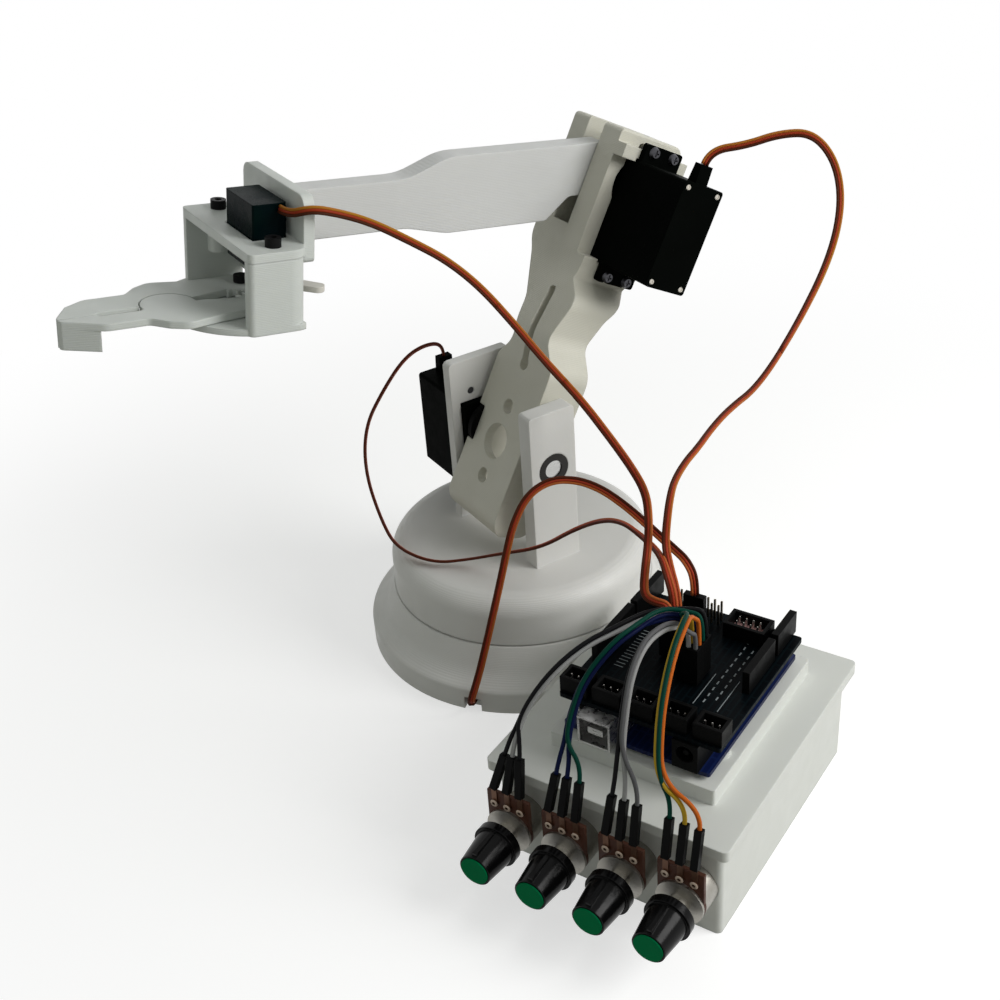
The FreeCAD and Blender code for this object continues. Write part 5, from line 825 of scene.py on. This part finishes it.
def show_white(tree, plain, white):
    """White for what the camera, gloss and glass see, and the plain shader for all other light."""
    path = add(tree, "ShaderNodeLightPath")
    seen = path.outputs["Is Camera Ray"]
    for label in ("Is Glossy Ray", "Is Transmission Ray"):
        either = add(tree, "ShaderNodeMath", operation="MAXIMUM")
        tree.links.new(seen, either.inputs[0])
        tree.links.new(path.outputs[label], either.inputs[1])
        seen = either.outputs["Value"]
    mix = add(tree, "ShaderNodeMixShader")
    tree.links.new(seen, mix.inputs["Fac"])
    tree.links.new(plain.outputs[0], mix.inputs[1])
    tree.links.new(white.outputs[0], mix.inputs[2])
    return mix


REACH = 6.0
NEAR, FAR, NEAR_LIFT = 0.10, 0.42, 0.55
floor_mesh = bpy.data.meshes.new("floor")
floor_mesh.from_pydata([(-REACH, -REACH, 0), (REACH, -REACH, 0), (REACH, REACH, 0), (-REACH, REACH, 0)], [],
                       [(0, 1, 2, 3)])
floor = bpy.data.objects.new("floor", floor_mesh)
pale = shader("floor_pale", (0.37, 0.365, 0.33), 0.9, Specular_IOR_Level=0.0)
tree = pale.node_tree
lit = add(tree, "ShaderNodeBsdfDiffuse", {"Color": (0.6, 0.6, 0.6, 1)})
glow = add(tree, "ShaderNodeEmission", {"Strength": NEAR_LIFT})
shaded = add(tree, "ShaderNodeAddShader")
plain_white = add(tree, "ShaderNodeEmission", {"Strength": 1.0})
coords = add(tree, "ShaderNodeTexCoord")
away = add(tree, "ShaderNodeVectorMath", operation="LENGTH")
share = add(tree, "ShaderNodeMapRange", {"From Min": NEAR, "From Max": FAR}, interpolation_type="SMOOTHSTEP")
bright = add(tree, "ShaderNodeMixShader")
tree.links.new(coords.outputs["Object"], away.inputs[0])
tree.links.new(away.outputs["Value"], share.inputs["Value"])
tree.links.new(share.outputs["Result"], bright.inputs["Fac"])
tree.links.new(lit.outputs["BSDF"], shaded.inputs[0])
tree.links.new(glow.outputs["Emission"], shaded.inputs[1])
tree.links.new(shaded.outputs["Shader"], bright.inputs[1])
tree.links.new(plain_white.outputs["Emission"], bright.inputs[2])
mix = show_white(tree, tree.nodes["Principled BSDF"], bright)
tree.links.new(mix.outputs["Shader"], tree.nodes["Material Output"].inputs["Surface"])
floor_mesh.materials.append(pale)
scene.collection.objects.link(floor)

world = bpy.data.worlds.new("soft_sky")
world.use_nodes = True
tree = world.node_tree
sky = tree.nodes["Background"]
sky.inputs["Color"].default_value = (0.97, 1.0, 0.96, 1)
sky.inputs["Strength"].default_value = 0.33
white = add(tree, "ShaderNodeBackground", {"Color": (1, 1, 1, 1), "Strength": 1.0})
mix = show_white(tree, sky, white)
tree.links.new(mix.outputs["Shader"], tree.nodes["World Output"].inputs["Surface"])
scene.world = world


def area(name, at, aim, size, power, colour):
    """Round lamp that faces a spot and is not seen itself."""
    light = bpy.data.lights.new(name, "AREA")
    light.shape = "DISK"
    light.size = size
    light.energy = power
    light.color = colour
    lamp = bpy.data.objects.new(name, light)
    lamp.location = at
    lamp.rotation_euler = (Vector(at) - Vector(aim)).to_track_quat("Z", "Y").to_euler()
    lamp.visible_camera = False
    scene.collection.objects.link(lamp)


AIM = (0.0, 0.06, 0.08)
area("key", (-0.42, 0.58, 0.5), AIM, size=0.5, power=5.1, colour=(1.0, 0.995, 0.985))
area("fill", (1.1, -0.2, 0.5), AIM, size=0.9, power=0.3, colour=(0.86, 0.94, 0.70))
